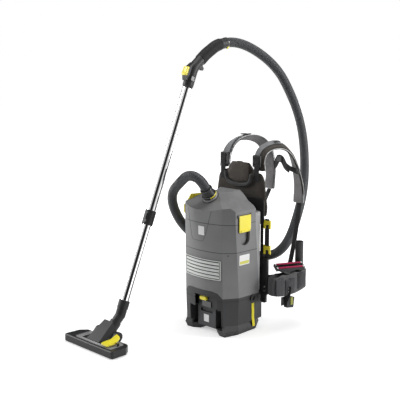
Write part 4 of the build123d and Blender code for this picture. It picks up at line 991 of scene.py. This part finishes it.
# ---------------------------------------- bare plates and labels
def bare_plate(name, near, size, look, body, on, material="label_white", lift=0.0003):
    """A thin bare plate with rounded corners, seated on the surface of a piece.

    The place is where a line of sight from a near point, along one way, first meets that piece."""
    place, facing = NODES[on].ray_cast(Vector(near), Vector(look))[1:3]
    plate = block(name, (*size, 0.0005))
    pick(plate, "EDGE", lambda c, d: abs(d.z) > 0.0001)
    round_edges(0.0025, 4)
    pick(plate, "FACE", lambda c, n: n.z > 0.9)
    bpy.ops.mesh.inset(thickness=0.0012)
    bpy.ops.transform.translate(value=(0, 0, -0.00012))
    done()
    turned = facing.to_track_quat("Z", "Y").to_matrix().to_4x4()
    apply_place(plate, Matrix.Translation(place + facing * lift) @ turned)
    seat(plate, 30, material, body)


bare_plate("front_plate", (0.0080, -0.30, 0.4390), (0.034, 0.037), (0, 1, 0), "machine", "upper_housing")
bare_plate("side_label", (0.30, -0.0180, 0.3210), (0.060, 0.042), (-1, 0, 0), "machine", "lower_housing")
bare_plate("side_label_band", (0.30, -0.0180, 0.3100), (0.054, 0.012), (-1, 0, 0), "machine", "lower_housing",
           "label_yellow", 0.0006)
bare_plate("battery_plate", (-0.0050, -0.30, 0.0560), (0.033, 0.033), (0, 1, 0), "battery", "battery_pack")


# ---------------------------------------- rings of the hose collar
COLLAR_PLACE = Matrix((
    (1, 0, 0, 0), (0, 0.8192, -0.5736, -0.072), (0, 0.5736, 0.8192, 0.568), (0, 0, 0, 1),
))


def turned_ring(name, profile, material, arc=None, place=COLLAR_PLACE, body="lid"):
    """A ring stepped out from a circle: each step moves along the axis and changes its radius.

    The profile is a list of radius and height. An arc, in degrees, keeps part of the ring."""
    deselect()
    radius, height = profile[0]
    bpy.ops.mesh.primitive_circle_add(vertices=64, radius=radius, location=(0, 0, height))
    ring = bpy.context.object
    ring.name = name
    apply_place(ring)
    edit(ring)
    pick_all()
    for step_radius, step_height in profile[1:] + profile[:1]:
        draw_out((0, 0, step_height - height))
        grow = step_radius / radius
        if abs(grow - 1) > TINY:
            bpy.ops.transform.resize(value=(grow, grow, 1), center_override=(0, 0, step_height))
        radius, height = step_radius, step_height
    pick_all()
    bpy.ops.mesh.remove_doubles(threshold=0.00001)
    if arc is None:
        turn_outwards()
    else:
        pick(ring, "FACE", lambda c, n: not arc[0] <= math.degrees(math.atan2(c.y, c.x)) <= arc[1])
        bpy.ops.mesh.delete(type="FACE")
        close_ends()
    done()
    apply_place(ring, place)
    seat(ring, 40, material, body)
    return ring


turned_ring("collar_lock_ring", [
    (0.0283, 0.0084), (0.0302, 0.0084), (0.0310, 0.0094), (0.0310, 0.0185), (0.0302, 0.0195),
    (0.0272, 0.0200),
], "black_gloss")
turned_ring("collar_end_ring", [
    (0.0238, 0.0395), (0.0252, 0.0395), (0.0258, 0.0403), (0.0258, 0.0460), (0.0252, 0.0468),
    (0.0237, 0.0468),
], "black_gloss")
turned_ring("collar_yellow_mark", [
    (0.0309, 0.0118), (0.0316, 0.0118), (0.0320, 0.0122), (0.0320, 0.0158), (0.0316, 0.0162),
    (0.0309, 0.0162),
], "yellow_plastic", arc=(-38, 48))

# ---------------------------------------- woven strip on the base, filter bag
STRIP_FOOT = 0.0185
STRIP_RISE = 0.105
STRIP_STEPS = 14
STRIP_BEND = 0.050             # below this height the strip is held in, so that its foot doesn't kink
STRIP_X = (0.1280, 0.1288)     # the least X of the strip, and the most below the bend

strip_stops = []
for n in range(STRIP_STEPS + 1):
    z = STRIP_FOOT + STRIP_RISE * n / STRIP_STEPS
    if z > STRIP_BEND:
        y = 0.0435 + 0.010 * (0.124 - z) / 0.074
    else:
        y = 0.0535 + 0.0045 * (STRIP_BEND - z) / 0.032
    met = NODES["base_tray"].ray_cast(Vector((0.30, y, z)), Vector((-1, 0, 0)))[1]
    out = met.x if z > STRIP_BEND else min(met.x, STRIP_X[1])
    strip_stops.append((max(out, STRIP_X[0]) + 0.0009 + 0.0004 * math.sin(0.9 * n), y, z))
strip = slanting_band("side_strip_woven", strip_stops, 0.0016, 0.0150)
seat(strip, 50, "webbing_yellow")
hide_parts("side_strap")

FLEECE_MIDDLE = (0, -0.022, 0.3955)
fleece = block("filter_bag_fleece", (0.183, 0.090, 0.091), FLEECE_MIDDLE)
pick_all()
round_edges(0.016, 3)
pick_all()
bpy.ops.mesh.subdivide(number_cuts=7)
done()
for vert in fleece.data.vertices:
    across = vert.co.x / 0.092
    deep = vert.co.y - FLEECE_MIDDLE[1]
    up = (vert.co.z - FLEECE_MIDDLE[2]) / 0.046
    fold = 0.0022 * math.sin(5.2 * across + 2.1 * up) * math.cos(3.7 * up)
    vert.co.y += fold * (1 if deep > 0 else -1) - 0.0008 * math.copysign(1, deep)
    vert.co.z += 0.0012 * math.sin(7.0 * across + 31 * (vert.co.y - FLEECE_MIDDLE[1]))
plump(fleece, 0.004, 0.0015, 1.0)
seat(fleece, 60, "filter_cloth")
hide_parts("filter_bag")
turned_ring("filter_bag_collar", [
    (0.0180, 0.0), (0.0290, 0.0), (0.0300, 0.0010), (0.0300, 0.0070), (0.0290, 0.0078), (0.0180, 0.0078),
], "filter_cloth", place=Matrix.Translation((0, -0.022, 0.4435)), body="machine")

# ---------------------------------------- handle: spigot in the tube, button, hose ring
WAND_PLACE = Matrix((
    (1, 0, 0, -0.161), (0, 0.9235, 0.3834, -0.051), (0, -0.3834, 0.9235, 1.006), (0, 0, 0, 1),
))
HOSE_PLACE = Matrix((
    (1, 0, 0, -0.161), (0, 0.1736, 0.9848, 0.175), (0, -0.9848, 0.1736, 1.195), (0, 0, 0, 1),
))
BUTTON_PLACE = Matrix((
    (1, 0, 0, -0.161), (0, 0.4240, -0.9057, -0.0600), (0, 0.9057, 0.4240, 1.0785), (0, 0, 0, 1),
))
spigot = turned_ring("handle_spigot", [
    (0.0160, 0.0132), (0.0160, -0.0060), (0.0172, -0.0060), (0.0178, 0.0012), (0.0198, 0.0050),
    (0.0224, 0.0100), (0.0227, 0.0132),
], "black_plastic", place=WAND_PLACE, body="handle")
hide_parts("handle_cuff")
turned_ring("hose_end_ring", [
    (0.0205, -0.0020), (0.0228, -0.0020), (0.0236, -0.0012), (0.0236, 0.0072), (0.0228, 0.0080),
    (0.0205, 0.0080),
], "black_gloss", place=HOSE_PLACE, body="handle")


def moulded_key(name, place, size, dish, body):
    """A yellow moulded key with rounded edges and a shallow dish for the thumb."""
    key = block(name, size)
    pick_all()
    round_edges(min(size) * 0.22, 3)
    pick(key, "FACE", lambda c, n: n.z > 0.99 and c.z > size[2] * 0.4)
    bpy.ops.mesh.inset(thickness=min(size) * 0.18)
    bpy.ops.transform.translate(value=(0, 0, -dish))
    done()
    apply_place(key, place)
    seat(key, 35, "yellow_plastic", body=body)
    return key


thumb_key = moulded_key(
    "handle_thumb_key", BUTTON_PLACE, (0.0275, 0.0380, 0.0110), 0.0007, "handle_trigger",
)
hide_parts("handle_button")
moulded_key(
    "hose_ring_key",
    Matrix.Translation((-0.1495, 0.1790, 1.1765)) @ Matrix.Rotation(math.radians(35), 4, "Y"),
    (0.0070, 0.0110, 0.0130), 0.0004, "handle",
)

# ---------------------------------------- hinge bracket's edge, clip hooks
bracket_edge = panel("hinge_bracket_edge", [
    (-0.081, 0.512), (-0.062, 0.536), (-0.040, 0.562), (0.026, 0.559), (0.029, 0.545), (0.029, 0.520),
    (-0.030, 0.514),
], -0.1516, 0.0052, 0.0010)
lay_sideways(bracket_edge)
seat(bracket_edge, 30, "yellow_plastic", body="lid")

# a hook's outline: its X on the right side, and its height above or below the hook's middle
HOOK_OUTLINE = [
    (0.1395, 0.017), (0.1730, 0.017), (0.1760, 0.012), (0.1760, -0.012), (0.1690, -0.014), (0.1680, 0.000),
    (0.1510, 0.000), (0.1495, -0.018), (0.1395, -0.018),
]
for side in (1, -1):
    for word, z in (("_low", 0.344), ("_high", 0.451)):
        outline = [(side * x, z + up) for x, up in HOOK_OUTLINE]
        hook = panel("clip_hook_" + side_word(side) + word, outline, 0.1003, 0.0037, 0.0009)
        seat(hook, 30, "yellow_plastic")


# ---------------------------------------- floor, backdrop and light
WHITE = (1, 1, 1, 1)
FLOOR_GLOW = (0.46, 1.1)    # near the object, and away from it
FLOOR_AWAY = (1.0, 1.9)     # metres from the middle between which the glow grows
SKY_LIGHT = 0.20
# what glossy rays see of the sky, as steps of place and shade
# the place runs from 0 behind the object to 1 on the main camera's side
SKY_BANDS = [(0.24, 0.06), (0.46, 0.74), (0.875, 0.72), (0.91, 0.02)]


def choose(tree, share, first, second):
    """The first of two shaders where the share is 0, and the second where it is 1."""
    node = add_node(tree, "ShaderNodeMixShader")
    tree.links.new(share, node.inputs["Fac"])
    tree.links.new(first, node.inputs[1])
    tree.links.new(second, node.inputs[2])
    return node.outputs[0]


def floor_material():
    """Matt, with a glow for camera and glossy rays that grows to white away from the object."""
    mat, tree, shader = new_material("floor_white")
    tree.nodes.remove(shader)
    away = add_node(tree, "ShaderNodeVectorMath", operation="LENGTH")
    tree.links.new(object_coord(tree), away.inputs[0])
    glow = add_node(tree, "ShaderNodeEmission")
    glow.inputs["Color"].default_value = WHITE
    tree.links.new(spread(tree, away.outputs["Value"], *FLOOR_GLOW, *FLOOR_AWAY), glow.inputs["Strength"])
    matt = add_node(tree, "ShaderNodeBsdfDiffuse")
    matt.inputs["Color"].default_value = (0.8, 0.8, 0.8, 1)
    both = add_node(tree, "ShaderNodeAddShader")
    tree.links.new(glow.outputs[0], both.inputs[0])
    tree.links.new(matt.outputs[0], both.inputs[1])
    path = add_node(tree, "ShaderNodeLightPath")
    seen = maths(tree, "MAXIMUM", path.outputs["Is Camera Ray"], path.outputs["Is Glossy Ray"])
    shown = choose(tree, seen, matt.outputs[0], both.outputs[0])
    tree.links.new(shown, tree.nodes["Material Output"].inputs["Surface"])
    return mat


deselect()
bpy.ops.mesh.primitive_plane_add(size=30, location=(0, 0, -0.0005))
floor = bpy.context.object
floor.name = "floor"
apply_place(floor)
floor.data.materials.append(floor_material())


def white_sky(node, strength):
    """White light of one strength from all around."""
    node.inputs["Color"].default_value = WHITE
    node.inputs["Strength"].default_value = strength
    return node.outputs[0]


def banded_sky(tree):
    """Light and dark bands, turned to the main camera's side, in place of the white background."""
    around = add_node(tree, "ShaderNodeTexCoord")
    toward = add_node(tree, "ShaderNodeVectorMath", operation="DOT_PRODUCT")
    toward.inputs[1].default_value = Vector((camera.location.x, camera.location.y, 0)).normalized()
    tree.links.new(around.outputs["Generated"], toward.inputs[0])
    bands = add_node(tree, "ShaderNodeValToRGB")
    tree.links.new(spread(tree, toward.outputs["Value"], 0.0, 1.0, -1.0, 1.0), bands.inputs["Fac"])
    steps = bands.color_ramp.elements
    for n, (position, shade) in enumerate(SKY_BANDS):
        step = steps[n] if n < len(steps) else steps.new(position)
        step.position = position
        step.color = (shade, shade, shade, 1)
    light = add_node(tree, "ShaderNodeBackground")
    tree.links.new(bands.outputs["Color"], light.inputs["Color"])
    return light.outputs[0]


def studio_sky(tree):
    """White to camera and transmission rays, banded to glossy rays, and a dim light to the rest."""
    path = add_node(tree, "ShaderNodeLightPath")
    seen = maths(tree, "MAXIMUM", path.outputs["Is Camera Ray"], path.outputs["Is Transmission Ray"])
    dim = white_sky(add_node(tree, "ShaderNodeBackground"), SKY_LIGHT)
    unseen = choose(tree, path.outputs["Is Glossy Ray"], dim, banded_sky(tree))
    shown = choose(tree, seen, unseen, white_sky(tree.nodes["Background"], 1.0))
    tree.links.new(shown, tree.nodes["World Output"].inputs["Surface"])


world = bpy.data.worlds.new("studio")
scene.world = world
world.use_nodes = True
studio_sky(world.node_tree)


def soft_lamp(name, place, aim, size, power):
    bpy.ops.object.light_add(type="AREA", location=place)
    lamp = bpy.context.object
    lamp.name = name
    lamp.data.shape = "RECTANGLE"
    lamp.data.size, lamp.data.size_y = size
    lamp.data.energy = power
    lamp.rotation_euler = (Vector(aim) - Vector(place)).to_track_quat("-Z", "Y").to_euler()


soft_lamp("lamp_left", (-3.0, -2.0, 1.9), (-0.1, 0, 0.5), (1.4, 2.4), 108)
soft_lamp("lamp_right", (2.7, 2.1, 1.7), (0, 0, 0.5), (1.4, 2.4), 100)
soft_lamp("lamp_top", (-0.1, 0.3, 3.4), (0, 0, 0.4), (2.2, 2.2), 50)
